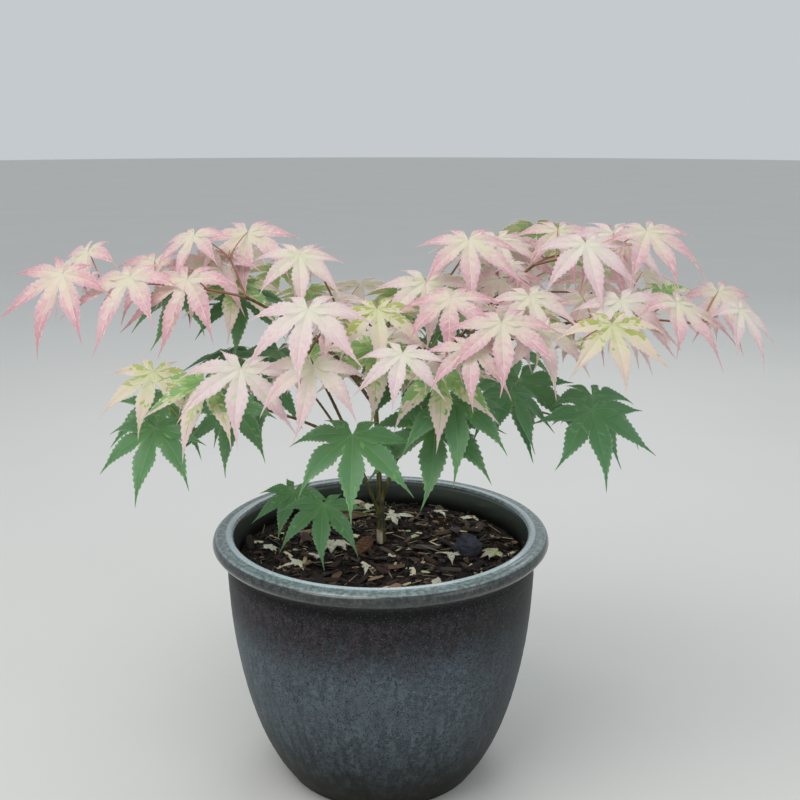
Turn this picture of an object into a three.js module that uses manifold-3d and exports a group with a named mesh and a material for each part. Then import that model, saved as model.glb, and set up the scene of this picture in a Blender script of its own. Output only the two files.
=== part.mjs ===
// A young variegated maple in a glazed stoneware pot. Units are millimetres and +Z is up.
// The origin is the centre of the pot's flat underside, -Y is the side that is seen first,
// and +X is to the right from there. The pot, the soil, the stems, the boughs and the masses
// of foliage are separate solids that stand 0.3 mm clear of each other.
import * as THREE from "three";
import { mergeVertices } from "three/addons/utils/BufferGeometryUtils.js";
import Module from "manifold-3d";

const wasm = await Module();
wasm.setup();

// Driving dimensions
const POT_HEIGHT = 230;
const RIM_RADIUS = 150;
const MOUTH_RADIUS = 132;
const FOOT_RADIUS = 90;
const WALL = 10;
const FLOOR = 14;
const SOIL_EDGE = 206;
const SOIL_TOP = 209;
const ROUND = 40;
const CLEARANCE = 0.3;
const TRUNK_FOOT = new THREE.Vector3(0, 12, SOIL_TOP + CLEARANCE);
const TRUNK_TOP = new THREE.Vector3(-1, 13, 250);
const TRUNK_RADIUS = 4;
const ROOT_FLARE = 2.6;
const LEAF_LENGTH = 64;
const LEAF_THICKNESS = 1.6;
const STALK = 40;
const STALK_LIFT = 25;
const STALK_RADIUS = 0.8;
const INTERNODE = 46;
const DROOP = 42;
const BACK_HALF = 75;
const STONE_RADIUS = 13;
const CROWN_TOP = 504;
const CROWN_LEFT = -326;
const CROWN_RIGHT = 356;
const LEAF_TRIES = 40;

// The stems and boughs, each after the one that it grows from: the name, the parent, the place on
// the parent from 0 at its foot to 1 at its tip, the tip, the radii at the foot and the tip, and
// how far it arches
const LIMBS = [
  ["leader_stem", "trunk", 1, [-5, 20, 345], [2.6, 2.1], 0],
  ["right_stem", "trunk", 0.95, [38, 5, 360], [2.2, 1.7], 0],
  ["left_stem", "trunk", 0.6, [-28, -5, 315], [1.8, 1.4], 0],
  ["bough_left", "leader_stem", 1, [-115, 0, 438], [1.9, 1.3], 0.14],
  ["bough_back", "leader_stem", 1, [-5, 115, 385], [1.9, 1.3], 0.1],
  ["bough_back_left", "leader_stem", 0.9, [-90, 95, 410], [1.8, 1.2], 0.1],
  ["bough_centre", "leader_stem", 0.97, [52, 12, 440], [1.8, 1.2], 0.05],
  ["bough_right_high", "right_stem", 1, [130, -5, 466], [1.8, 1.2], 0.12],
  ["bough_right_low", "right_stem", 0.94, [160, -40, 424], [1.7, 1.2], 0.14],
  ["bough_right_back", "right_stem", 0.8, [120, 95, 425], [1.7, 1.2], 0.1],
  ["bough_front_right", "right_stem", 0.7, [40, -55, 400], [1.6, 1.1], 0.08],
  ["bough_low_right", "right_stem", 0.4, [100, -26, 350], [1.5, 1.1], 0.12],
  ["bough_low_back", "right_stem", 0.25, [50, 95, 345], [1.5, 1.1], 0.12],
  ["bough_front_left", "left_stem", 1, [-58, -58, 400], [1.4, 1.1], 0.06],
  ["bough_low_left", "left_stem", 0.9, [-105, -20, 345], [1.4, 1.1], 0.1],
  ["bough_low_front", "left_stem", 0.7, [-15, -45, 325], [1.3, 1], 0.06],
  ["bough_low_back_left", "left_stem", 0.5, [-70, 78, 338], [1.4, 1], 0.1],
].map(([name, parent, along, tip, radii, arch]) => ({ name, parent, along, tip, radii, arch }));

// The masses of foliage: the name, the limb whose tip it grows from, the tip of its own stem, the
// pairs of leaves along that stem, its side twigs with one pair each, the seed, the size of its
// leaves and their form
const SPRAYS = [
  ["foliage_left_tip", "bough_left", [-242, 16, 448], 3, 0, 387, 1.08, "pale"],
  ["foliage_left_upper", "bough_left", [-132, 30, 468], 1, 0, 641, 1, "pale"],
  ["foliage_left_inner", "leader_stem", [-52, 20, 456], 2, 1, 101, 0.92, "pale"],
  ["foliage_centre_top", "bough_centre", [70, 6, 470], 1, 0, 1093, 0.98, "pale"],
  ["foliage_centre", "bough_centre", [80, -62, 436], 2, 1, 1093, 1, "pale"],
  ["foliage_right_high", "bough_right_high", [195, 6, 474], 2, 0, 486, 1.05, "pale"],
  ["foliage_right_tip", "bough_right_low", [268, -30, 420], 3, 0, 648, 1.05, "pale"],
  ["foliage_right_front", "bough_right_low", [152, -92, 414], 2, 0, 434, 1, "pale"],
  ["foliage_front_right", "bough_front_right", [44, -108, 402], 1, 1, 549, 0.95, "pale"],
  ["foliage_front_centre", "bough_front_right", [30, -72, 384], 1, 0, 473, 1, "green"],
  ["foliage_low_right", "bough_low_right", [155, -34, 340], 2, 0, 970, 1.05, "green"],
  ["foliage_low_front_right", "bough_low_right", [58, -60, 360], 1, 0, 1164, 1.08, "green"],
  ["foliage_front_left", "bough_front_left", [-68, -98, 388], 1, 0, 635, 1, "pale"],
  ["foliage_front_upper", "bough_front_left", [-42, -82, 427], 1, 0, 826, 1.05, "pale"],
  ["foliage_low_left", "bough_low_left", [-165, -30, 326], 2, 0, 873, 1.02, "green"],
  ["foliage_low_front_left", "bough_low_left", [-148, -66, 368], 1, 0, 314, 1, "pale"],
  ["foliage_low_front", "bough_low_front", [4, -78, 332], 1, 0, 2092, 1.12, "green"],
  ["foliage_over_soil", "trunk", [-46, -18, 252], 1, 0, 549, 0.9, "green"],
  ["foliage_middle", "leader_stem", [20, 75, 395], 1, 1, 40, 1, "pale"],
  ["foliage_back_left", "bough_back_left", [-150, 140, 435], 2, 1, 13, 1, "pale"],
  ["foliage_far_left", "bough_back_left", [-165, 80, 418], 2, 0, 14, 0.95, "green"],
  ["foliage_back", "bough_back", [-40, 190, 395], 2, 1, 15, 1, "pale"],
  ["foliage_back_inner", "bough_back", [60, 160, 408], 2, 0, 16, 0.95, "pale"],
  ["foliage_right_upper", "bough_right_high", [165, 62, 466], 2, 0, 21, 1, "pale"],
  ["foliage_back_right", "bough_right_back", [160, 145, 435], 2, 1, 24, 1, "pale"],
  ["foliage_far_right", "bough_right_back", [230, 82, 425], 2, 0, 25, 0.95, "pale"],
  ["foliage_low_back_right", "bough_low_back", [90, 135, 350], 2, 1, 30, 1, "green"],
  ["foliage_low_back", "bough_low_back", [5, 145, 350], 2, 0, 31, 1, "green"],
  ["foliage_low_back_left", "bough_low_back_left", [-112, 118, 345], 2, 1, 37, 1, "green"],
].map(([name, limb, tip, pairs, twigs, seed, size, form]) => {
  return { name, limb, tip, pairs, twigs, seed, size, form };
});

// How far opposite leaves stand off their stem, in degrees, from its tip inwards
const SPLITS = [58, 74, 80];
// The seven lobes of a leaf: the angle from the middle lobe, the length and half the width, as
// shares of the middle lobe's length
const LOBES = [
  { angle: -128, reach: 0.36, half: 0 },
  { angle: -84, reach: 0.7, half: 0.1 },
  { angle: -42, reach: 0.93, half: 0.12 },
  { angle: 0, reach: 1, half: 0.13 },
  { angle: 42, reach: 0.93, half: 0.12 },
  { angle: 84, reach: 0.7, half: 0.1 },
  { angle: 128, reach: 0.36, half: 0 },
];
const SHOULDER = 0.5;
const FOLD = 0.18;
// The pale leaves of the top are cut deeper than the green ones below
const FORMS = {
  pale: { breadth: 1, sinus: 0.25 },
  green: { breadth: 1.15, sinus: 0.34 },
};

const FINISHES = {
  glaze: { color: 0x5d6266, roughness: 0.32, metalness: 0 },
  soil: { color: 0x2f241d, roughness: 0.95, metalness: 0 },
  bark: { color: 0x5a4a32, roughness: 0.75, metalness: 0 },
  pale: { color: 0xe9c9bf, roughness: 0.6, metalness: 0 },
  green: { color: 0x3f7a45, roughness: 0.55, metalness: 0 },
  stone: { color: 0x34343c, roughness: 0.85, metalness: 0 },
  chip: { color: 0x7a4128, roughness: 0.85, metalness: 0 },
};

const radians = THREE.MathUtils.degToRad;

// A repeatable run of numbers from 0 to 1, each worked out from the one before it.
function sequence(seed) {
  let state = seed;
  const next = () => {
    state = (state * 16807) % 2147483647;
    return state / 2147483647;
  };
  next();
  next();
  return next;
}

// A vector of a length, from the way that it points level and its rise, both in radians.
function polar(length, heading, rise) {
  return new THREE.Vector3(
    length * Math.cos(heading) * Math.cos(rise),
    length * Math.sin(heading) * Math.cos(rise),
    length * Math.sin(rise),
  );
}

// A closed geometry as a solid, so that it can be joined and cut.
function solidOf(geometry) {
  geometry.deleteAttribute("normal");
  geometry.deleteAttribute("uv");
  const merged = mergeVertices(geometry, 1e-4);
  return new wasm.Manifold(
    new wasm.Mesh({
      numProp: 3,
      vertProperties: merged.attributes.position.array,
      triVerts: new Uint32Array(merged.index.array),
    }),
  );
}

function solidFrom(points, triangles) {
  const geometry = new THREE.BufferGeometry().setFromPoints(points);
  geometry.setIndex(triangles);
  return solidOf(geometry);
}

function geometryOf(solid) {
  const mesh = solid.getMesh();
  const geometry = new THREE.BufferGeometry();
  geometry.setAttribute("position", new THREE.BufferAttribute(mesh.vertProperties, 3));
  geometry.setIndex(new THREE.BufferAttribute(mesh.triVerts, 1));
  geometry.computeVertexNormals();
  return geometry;
}

function largestPiece(solid) {
  return solid.decompose().reduce((a, b) => (b.volume() > a.volume() ? b : a));
}

// Parts fused into one body, without the slivers that fusing leaves.
function fused(parts) {
  return largestPiece(wasm.Manifold.union(parts)).asOriginal().simplify(0.03);
}

// A tapering limb along a curve. Radius gives its size at a place from 0 to 1 and an angle, and
// grow makes it that much fatter and longer.
function limb(curve, radius, sides, steps, grow = 0) {
  const frames = curve.computeFrenetFrames(steps, false);
  const points = [];
  for (let i = 0; i <= steps; i++) {
    const centre = curve.getPointAt(i / steps);
    if (i === 0) centre.addScaledVector(frames.tangents[i], -grow);
    if (i === steps) centre.addScaledVector(frames.tangents[i], grow);
    for (let k = 0; k < sides; k++) {
      const angle = (2 * Math.PI * k) / sides;
      const size = radius(i / steps, angle) + grow;
      const point = centre.clone();
      point.addScaledVector(frames.normals[i], size * Math.cos(angle));
      point.addScaledVector(frames.binormals[i], size * Math.sin(angle));
      points.push(point);
    }
  }
  const triangles = [];
  for (let a = 0; a < steps * sides; a++) {
    const b = (a + 1) % sides === 0 ? a + 1 - sides : a + 1;
    triangles.push(a, b, a + sides, b, b + sides, a + sides);
  }
  const last = steps * sides;
  for (let k = 1; k < sides - 1; k++) triangles.push(0, k + 1, k, last, last + k, last + k + 1);
  return solidFrom(points, triangles);
}

// The curve of a limb that leaves its parent upwards and then levels out.
function arched(foot, tip, arch) {
  const middle = foot.clone().lerp(tip, 0.45);
  middle.z += arch * foot.distanceTo(tip);
  return new THREE.QuadraticBezierCurve3(foot, middle, tip);
}

// A solid of revolution about Z from a profile of [radius, height] pairs.
function turned(profile) {
  const points = profile.map(([r, z]) => new THREE.Vector2(r, z));
  const geometry = new THREE.LatheGeometry(points, ROUND);
  geometry.rotateX(Math.PI / 2);
  return solidOf(geometry);
}

// The outside of the pot's body, from its foot to the neck under the rim.
function bodyProfile() {
  const bend = [
    [FOOT_RADIUS, 3],
    [102, 22],
    [115, 52],
    [126, 92],
    [134, 140],
    [137.5, 188],
    [137, 208],
  ];
  const curve = new THREE.SplineCurve(bend.map(([r, z]) => new THREE.Vector2(r, z)));
  return curve.getPoints(8).map((p) => [p.x, p.y]);
}

// The inside of the pot's wall up to the soil, drawn in by a clearance.
function insideProfile(clearance) {
  const wall = bodyProfile()
    .map(([r, z]) => [r - WALL - clearance, z])
    .filter(([r, z]) => z > FLOOR + 6 && z < SOIL_EDGE - 4);
  return [[0, FLOOR + clearance], [wall[0][0] - 5, FLOOR + clearance], ...wall];
}

function makePot() {
  const rim = [
    [141, 214],
    [147, 217],
    [RIM_RADIUS, 221.5],
    [149, 226],
    [146, 228.5],
    [140, 229],
    [135, POT_HEIGHT],
    [MOUTH_RADIUS, 228],
    [130, 220],
  ];
  const inside = insideProfile(0).reverse();
  return turned([[0, 0], [FOOT_RADIUS - 4, 0], ...bodyProfile(), ...rim, ...inside]);
}

function makeSoil() {
  const inside = insideProfile(CLEARANCE);
  return turned([...inside, [inside.at(-1)[0], SOIL_EDGE], [100, SOIL_TOP], [0, SOIL_TOP]]);
}

// The trunk's radius, with the lobes of its root flare dying away above the soil.
function trunkRadius(t, angle) {
  const flare = ROOT_FLARE * (1 + 0.35 * Math.cos(3 * angle + 0.6)) * Math.exp(-9 * t);
  return TRUNK_RADIUS * (1 - 0.14 * t) + flare;
}

// A rough lump of stone with a flat underside, from a ball whose points are pushed in and out.
function makeStone() {
  const lump = new THREE.IcosahedronGeometry(STONE_RADIUS, 1);
  const random = sequence(5);
  const points = lump.getAttribute("position");
  const pushes = new Map();
  for (let i = 0; i < points.count; i++) {
    const point = new THREE.Vector3().fromBufferAttribute(points, i);
    const corner = point.clone().round().toArray().join();
    if (!pushes.has(corner)) pushes.set(corner, 0.8 + 0.35 * random());
    point.multiplyScalar(pushes.get(corner));
    points.setXYZ(i, point.x, point.y * 0.75, Math.max(point.z, -STONE_RADIUS * 0.6));
  }
  lump.rotateZ(radians(25));
  lump.translate(77, -16, SOIL_TOP + CLEARANCE + STONE_RADIUS * 0.6);
  return solidOf(lump);
}

// The one large piece of bark, which lies on the soil beside the foot of the trunk.
function makeBarkPiece() {
  const corners = [
    [-15, -5],
    [-6, -8],
    [9, -6],
    [15, 1],
    [8, 7],
    [-10, 6],
  ];
  const outline = new THREE.Shape(corners.map(([x, y]) => new THREE.Vector2(x, y)));
  const piece = new THREE.ExtrudeGeometry(outline, { depth: 5, bevelEnabled: false });
  piece.rotateZ(radians(62));
  piece.translate(-16, -1, SOIL_TOP + CLEARANCE);
  return solidOf(piece);
}

// A point of a lobe in the leaf's own frame: x runs along the middle lobe and z is up. Share is how
// far along the lobe it lies and side how far off its middle line.
function lobePoint(lobe, shape, length, share, side) {
  const angle = radians(lobe.angle) + shape.turn;
  const reach = length * lobe.reach * shape.stretch;
  return new THREE.Vector3(
    reach * share * Math.cos(angle) - side * Math.sin(angle),
    reach * share * Math.sin(angle) + side * Math.cos(angle),
    FOLD * Math.abs(side) - reach * share * share * Math.sin(shape.sag),
  );
}

// The edge of a leaf, once round from its stalk.
function leafEdge(pose) {
  const { breadth, sinus } = FORMS[pose.form];
  const edge = [];
  LOBES.forEach((lobe, i) => {
    const half = pose.length * lobe.half * breadth;
    const at = (share, side) => lobePoint(lobe, pose.shapes[i], pose.length, share, side);
    if (half > 0) edge.push(at(SHOULDER, -half));
    edge.push(at(1, 0));
    if (half > 0) edge.push(at(SHOULDER, half));
    const next = LOBES[i + 1];
    if (!next) return;
    const outer = Math.min(lobe.reach, next.reach) < 0.5 ? 0.66 : 1;
    const between = radians((lobe.angle + next.angle) / 2);
    edge.push(polar(pose.length * sinus * outer, between, 0.1));
  });
  edge.push(new THREE.Vector3(-0.12 * pose.length, 0, 0));
  return edge;
}

// The leaf's own frame, where its stalk meets the blade.
function leafFrame({ base, facing, droop, roll }) {
  const ahead = polar(1, facing, -droop);
  const level = new THREE.Vector3(-Math.sin(facing), Math.cos(facing), 0);
  const raised = ahead.clone().cross(level);
  const left = level.multiplyScalar(Math.cos(roll)).addScaledVector(raised, Math.sin(roll));
  return new THREE.Matrix4().makeBasis(ahead, left, ahead.clone().cross(left)).setPosition(base);
}

// A leaf's blade, thickest where its stalk joins it. Extra is added to each face there.
function makeBlade(pose, extra) {
  const edge = leafEdge(pose);
  const half = LEAF_THICKNESS / 2 + extra;
  const points = [new THREE.Vector3(0, 0, half), new THREE.Vector3(0, 0, -half), ...edge];
  const triangles = [];
  edge.forEach((_, i) => {
    const a = 2 + i;
    const b = 2 + ((i + 1) % edge.length);
    triangles.push(0, a, b, 1, b, a);
  });
  const frame = leafFrame(pose);
  return solidFrom(points.map((p) => p.applyMatrix4(frame)), triangles);
}

// A leaf's stalk, from its node to well inside the heel of the blade.
function makeStalk(pose, extra) {
  const end = pose.base.clone().add(polar(-0.05 * pose.length, pose.facing, -pose.droop));
  return limb(arched(pose.node, end, 0.1), () => STALK_RADIUS + extra, 3, 2);
}

// One try at the pose of a leaf. Each further try strays more from the regular one.
function leafPose(spray, node, side, attempt) {
  const random = sequence(spray.seed * 2620 + node.key * 262 + (side + 1) * 65 + attempt * 977 + 7);
  const swing = (degrees) => radians((random() - 0.5) * 2 * degrees * (1 + 0.08 * attempt));
  const away = node.heading + radians(side * node.split) + swing(8);
  const reach = STALK * spray.size * (0.9 + 0.2 * random());
  const base = node.at.clone().add(polar(reach, away, radians(STALK_LIFT) + swing(8)));
  const front = base.y < BACK_HALF;
  const outward = front ? radians(270 + 0.12 * base.x) : radians(90 - 0.2 * base.x);
  return {
    node: node.at,
    form: spray.form,
    base,
    facing: outward + swing(12),
    droop: radians(DROOP) + swing(6),
    roll: swing(8),
    length: LEAF_LENGTH * spray.size * (0.84 + 0.32 * random()),
    shapes: LOBES.map(() => ({
      turn: radians(6 * (random() - 0.5)),
      stretch: 0.94 + 0.12 * random(),
      sag: radians(3 + 10 * random()),
    })),
  };
}

// The nodes of a spray, where its pairs of leaves stand, and the curves of its side twigs. The
// first pair is at the stem's tip, and each side twig has one at its own.
function sprayNodes(spray, curve) {
  const random = sequence(spray.seed * 77 + 3);
  const length = curve.v0.distanceTo(curve.v2);
  const nodes = [];
  const twigs = [];
  for (let key = 0; key < spray.pairs; key++) {
    const along = Math.max(0.1, 1 - (key * INTERNODE) / length);
    const at = curve.getPoint(along);
    const ahead = at.clone().sub(curve.getPoint(along - 0.05));
    nodes.push({ key, at, heading: Math.atan2(ahead.y, ahead.x), split: SPLITS[key] });
  }
  for (let k = 0; k < spray.twigs; k++) {
    const side = random() < 0.5 ? -1 : 1;
    const from = curve.getPoint(0.3 + 0.15 * random());
    const heading = nodes[0].heading + radians(side * (62 + 24 * random()));
    const at = from.clone().add(polar(38 + 12 * random(), heading, radians(20)));
    twigs.push(arched(from, at, 0.08));
    nodes.push({ key: 4 + k, at, heading, split: SPLITS[0] });
  }
  return { nodes, twigs };
}

const curves = new Map();
const solids = new Map();
const spaces = [];
const obstacles = [];

// Keeps a solid under its node's name, with its finish, as something that leaves must not touch.
function keep(name, solid, finish) {
  solids.set(name, { solid, finish });
  obstacles.push({ solid, owner: name, box: solid.boundingBox() });
}

function clearOfSpaces(solid) {
  return largestPiece(spaces.reduce((cut, space) => cut.subtract(space), solid));
}

function boxesMeet(a, b) {
  return a.min.every((low, i) => low <= b.max[i] && a.max[i] >= b.min[i]);
}

// Whether a solid touches anything that is kept, other than what one owner has.
function touches(solid, spared = "") {
  const box = solid.boundingBox();
  return obstacles.some(
    (o) => o.owner !== spared && boxesMeet(box, o.box) && !solid.intersect(o.solid).isEmpty(),
  );
}

function insideCrown(solid) {
  const { min, max } = solid.boundingBox();
  return max[2] < CROWN_TOP && min[0] > CROWN_LEFT && max[0] < CROWN_RIGHT;
}

// Grows one leaf on a spray in the first pose that finds room, or leaves it out.
function growLeaf(spray, node, side) {
  for (let attempt = 0; attempt < LEAF_TRIES; attempt++) {
    const pose = leafPose(spray, node, side, attempt);
    const room = makeBlade(pose, CLEARANCE + 0.1);
    if (!insideCrown(room) || touches(room)) continue;
    if (touches(makeStalk(pose, CLEARANCE + 0.1), spray.name)) continue;
    const blade = makeBlade(pose, 0);
    const stalk = makeStalk(pose, 0);
    spray.parts.push(blade, stalk);
    obstacles.push({ solid: blade, owner: "a blade", box: blade.boundingBox() });
    obstacles.push({ solid: stalk, owner: spray.name, box: stalk.boundingBox() });
    return 1;
  }
  return 0;
}

// Builds the pot, the soil and what lies on it
keep("pot", makePot(), "glaze");
keep("soil", makeSoil(), "soil");
keep("dark_stone", makeStone(), "stone");
keep("bark_piece", makeBarkPiece(), "chip");

// Builds the trunk, and the stems and boughs, each cut clear of the ones before it
curves.set("trunk", new THREE.LineCurve3(TRUNK_FOOT, TRUNK_TOP));
keep("trunk", limb(curves.get("trunk"), trunkRadius, 9, 7), "bark");
spaces.push(limb(curves.get("trunk"), trunkRadius, 9, 7, CLEARANCE));
for (const { name, parent, along, tip, radii, arch } of LIMBS) {
  const curve = arched(curves.get(parent).getPoint(along), new THREE.Vector3(...tip), arch);
  const radius = (t) => radii[0] + (radii[1] - radii[0]) * t;
  curves.set(name, curve);
  keep(name, clearOfSpaces(limb(curve, radius, 5, 5)), "bark");
  spaces.push(limb(curve, radius, 5, 5, CLEARANCE));
}

// Builds the stem and side twigs of each mass of foliage, clear of all of those and of each other
const sprays = SPRAYS.map((spray) => {
  const parent = curves.get(spray.limb);
  const foot = parent.getPoint(spray.limb === "trunk" ? 0.6 : 1);
  const curve = arched(foot, new THREE.Vector3(...spray.tip), 0.06);
  const { nodes, twigs } = sprayNodes(spray, curve);
  const taper = (t) => 1.1 - 0.3 * t;
  const stems = (grow) => [
    limb(curve, taper, 3, 4, grow),
    ...twigs.map((twig) => limb(twig, () => STALK_RADIUS, 3, 2, grow)),
  ];
  const wood = clearOfSpaces(wasm.Manifold.union(stems(0)));
  spaces.push(wasm.Manifold.union(stems(CLEARANCE)));
  obstacles.push({ solid: wood, owner: spray.name, box: wood.boundingBox() });
  return { ...spray, nodes, parts: [wood] };
});

// Grows the leaves, those at the tips before the ones behind them, so that the outermost leaves
// have the first choice of the room
const turns = sprays.flatMap((spray) => spray.nodes.map((node) => ({ spray, node })));
turns.sort((a, b) => a.node.key - b.node.key);
let grown = 0;
for (const { spray, node } of turns) grown += growLeaf(spray, node, 1) + growLeaf(spray, node, -1);
console.log("leaves", grown, "of", turns.length * 2);
for (const { name, parts, form } of sprays) {
  solids.set(name, { solid: fused(parts), finish: form });
}

const maple = new THREE.Group();
for (const [name, { solid, finish }] of solids) {
  const mesh = new THREE.Mesh(geometryOf(solid), new THREE.MeshStandardMaterial(FINISHES[finish]));
  mesh.name = name;
  maple.add(mesh);
}

export default maple;
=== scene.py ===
# %% [markdown]
# # A young variegated maple in a glazed pot
#
# The packed model holds plain solids: a pot, the soil in it, a trunk with its boughs, and masses
# of foliage. This lesson grows the fine surface round them. Every point is worked out in the
# model's own frame, so nothing has to be fitted afterwards. Lengths of the plant and the pot are
# written in millimetres, as a grower or a potter would give them, and turned into metres last.

# %% Load the packed model
import math

import bpy
import numpy as np
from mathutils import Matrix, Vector, noise


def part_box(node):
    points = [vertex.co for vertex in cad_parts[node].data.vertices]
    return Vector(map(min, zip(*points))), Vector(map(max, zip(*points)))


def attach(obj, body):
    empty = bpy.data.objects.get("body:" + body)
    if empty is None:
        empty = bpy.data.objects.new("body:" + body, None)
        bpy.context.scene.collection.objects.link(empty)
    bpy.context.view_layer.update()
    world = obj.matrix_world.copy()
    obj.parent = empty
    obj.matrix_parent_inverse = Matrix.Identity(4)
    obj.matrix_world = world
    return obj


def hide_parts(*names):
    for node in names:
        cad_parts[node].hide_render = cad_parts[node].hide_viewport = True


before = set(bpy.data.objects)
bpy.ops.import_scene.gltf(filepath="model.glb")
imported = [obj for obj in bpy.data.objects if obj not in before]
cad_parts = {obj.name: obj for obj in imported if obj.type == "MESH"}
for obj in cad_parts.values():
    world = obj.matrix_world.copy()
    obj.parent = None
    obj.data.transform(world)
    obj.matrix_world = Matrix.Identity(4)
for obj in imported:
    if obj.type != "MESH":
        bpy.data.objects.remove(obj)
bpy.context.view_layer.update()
MM = 0.001

# %% [markdown]
# ## The camera, the light and the floor
#
# A camera can be placed by eye, or worked out from things of known shape. Here the ellipse of the
# pot's rim gave its height, its distance and its tilt, so it is written as those three. The light
# is that of an overcast day: a pale sky all round, a large soft lamp above on the left, a weaker
# one on the right and one behind. The floor is plain and pale, so that it hides nothing.

# %% Place the camera
EYE = (0.017, -0.940, 0.592)
PITCH_DOWN = 14.6
FOCAL_PIXELS = 1110
IMAGE_PIXELS = 800
SENSOR_WIDTH = 36

camera_data = bpy.data.cameras.new("camera")
camera_data.sensor_width = SENSOR_WIDTH
camera_data.lens = SENSOR_WIDTH * FOCAL_PIXELS / IMAGE_PIXELS
camera = bpy.data.objects.new("camera", camera_data)
camera.location = EYE
camera.rotation_euler = (math.radians(90 - PITCH_DOWN), 0, 0)
bpy.context.collection.objects.link(camera)
bpy.context.scene.camera = camera
print("lens:", round(camera_data.lens, 1), "mm")

# %% Set the light
AIM = Vector((0, 0, 0.32))
SKY_COLOUR = (0.9, 0.95, 1, 1)
SKY_STRENGTH = 0.62


def soft_lamp(name, place, size, power, colour):
    """A round area lamp that points at the middle of the plant."""
    data = bpy.data.lights.new(name, "AREA")
    data.shape = "DISK"
    data.size = size
    data.energy = power
    data.color = colour
    lamp = bpy.data.objects.new(name, data)
    lamp.location = place
    lamp.rotation_euler = (Vector(place) - AIM).to_track_quat("Z", "Y").to_euler()
    bpy.context.collection.objects.link(lamp)


soft_lamp("key_lamp", (-0.7, -0.8, 2), 1.5, 20, (1, 0.985, 0.965))
soft_lamp("fill_lamp", (1.5, -1, 1.3), 1.2, 4, (0.93, 0.97, 1))
soft_lamp("back_lamp", (0.3, 1.6, 1.7), 1.2, 8, (0.95, 1, 0.97))

sky = bpy.data.worlds.new("sky")
sky.use_nodes = True
sky.node_tree.nodes["Background"].inputs["Color"].default_value = SKY_COLOUR
sky.node_tree.nodes["Background"].inputs["Strength"].default_value = SKY_STRENGTH
bpy.context.scene.world = sky
bpy.context.scene.view_settings.view_transform = "Standard"
print("lamps:", len(bpy.data.lights))

# %% [markdown]
# ## Shader maths as plain expressions
#
# A procedural finish is a small calculation: a height picks a band, a noise breaks its edge, and
# the result picks a colour. Wiring that by hand hides the sum, so a socket is wrapped in a class
# whose operators add the Math nodes. Colours go through Mix nodes, because a Math node would turn
# them grey. Numbers that are the same all over a surface are set on the shader itself.

# %% Wrap a socket, so that sums on it become nodes
def linear(code, alpha=1.0):
    """A colour written as six hexadecimal digits, as the light values that a shader works in."""
    parts = [int(code[i : i + 2], 16) / 255 for i in (0, 2, 4)]
    return (*[p / 12.92 if p <= 0.04045 else ((p + 0.055) / 1.055) ** 2.4 for p in parts], alpha)


class Wire:
    """A value in a finish. Arithmetic on it adds the nodes that work it out."""

    def __init__(self, finish, socket):
        self.finish = finish
        self.socket = socket

    def sum(self, operation, first, second):
        return self.finish.node("Math", {"operation": operation}, {0: first, 1: second})

    def __add__(self, other):
        return self.sum("ADD", self, other)

    def __radd__(self, other):
        return self.sum("ADD", other, self)

    def __sub__(self, other):
        return self.sum("SUBTRACT", self, other)

    def __rsub__(self, other):
        return self.sum("SUBTRACT", other, self)

    def __mul__(self, other):
        return self.sum("MULTIPLY", self, other)

    def __rmul__(self, other):
        return self.sum("MULTIPLY", other, self)


print("slate grey as light:", [round(part, 3) for part in linear("606d74")[:3]])

# %% [markdown]
# A finish starts from Blender's one large shader. Beside it there are only a few kinds of node:
# noise for grain, a smooth ramp for an edge, a mix of two colours, and a bump. One method makes
# them all, and the short ones under it give each kind a name that says what it is for.

# %% Name the few kinds of node
class Finish:
    """A material under its name, with the few kinds of node that the finishes here need."""

    def __init__(self, name, roughness=0.5, coat_roughness=0.1, glow=0.0):
        self.material = bpy.data.materials.new(name)
        self.material.use_nodes = True
        self.tree = self.material.node_tree
        self.shader = self.tree.nodes["Principled BSDF"]
        self.set("Roughness", roughness)
        self.set("Coat Roughness", coat_roughness)
        self.set("Subsurface Weight", glow)

    def join(self, socket, value):
        if isinstance(value, Wire):
            self.tree.links.new(value.socket, socket)
        else:
            socket.default_value = value

    def set(self, name, value):
        """Sets one of the shader's own sockets to a value or a wire."""
        self.join(self.shader.inputs[name], value)

    def node(self, kind, settings=None, sockets=None, output=0):
        """A node of any kind: its settings come first, then the values or wires of its sockets."""
        made = self.tree.nodes.new("ShaderNode" + kind)
        for name, value in (settings or {}).items():
            setattr(made, name, value)
        for key, value in (sockets or {}).items():
            self.join(made.inputs[key], value)
        return Wire(self, made.outputs[output])

    def place(self, scale=(1, 1, 1)):
        """Where a point of the piece is, in metres, stretched by a scale along each axis."""
        place = self.node("TexCoord", output="Object")
        return self.node("VectorMath", {"operation": "MULTIPLY"}, {0: place, 1: scale})

    def along(self, axis):
        """One coordinate of a point, in millimetres. Axis 0 runs to the right and axis 2 up."""
        return self.node("SeparateXYZ", {}, {0: self.place((1000, 1000, 1000))}, output=axis)

    def grain(self, scale, detail=3.0, stretch=(1, 1, 1)):
        """Noise from 0 to 1. Scale is how many of its features fit in a metre."""
        sockets = {"Vector": self.place(stretch), "Scale": scale, "Detail": detail}
        return self.node("TexNoise", {"noise_dimensions": "3D"}, sockets)

    def ramp(self, value, low, high):
        """0 at low and 1 at high, with a smooth change between. Low may be the larger of the two."""
        sockets = {"Value": value, "From Min": low, "From Max": high}
        return self.node("MapRange", {"interpolation_type": "SMOOTHSTEP"}, sockets)

    def mix(self, factor, first, second):
        """The first colour where the factor is 0, and the second where it is 1."""
        return self.node("Mix", {"data_type": "RGBA"}, {0: factor, 6: first, 7: second}, output=2)

    def bump(self, height, strength, distance):
        sockets = {"Height": height, "Strength": strength, "Distance": distance}
        self.set("Normal", self.node("Bump", {}, sockets))


print("a finish can:", [name for name in vars(Finish) if not name.startswith("_")])

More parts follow.
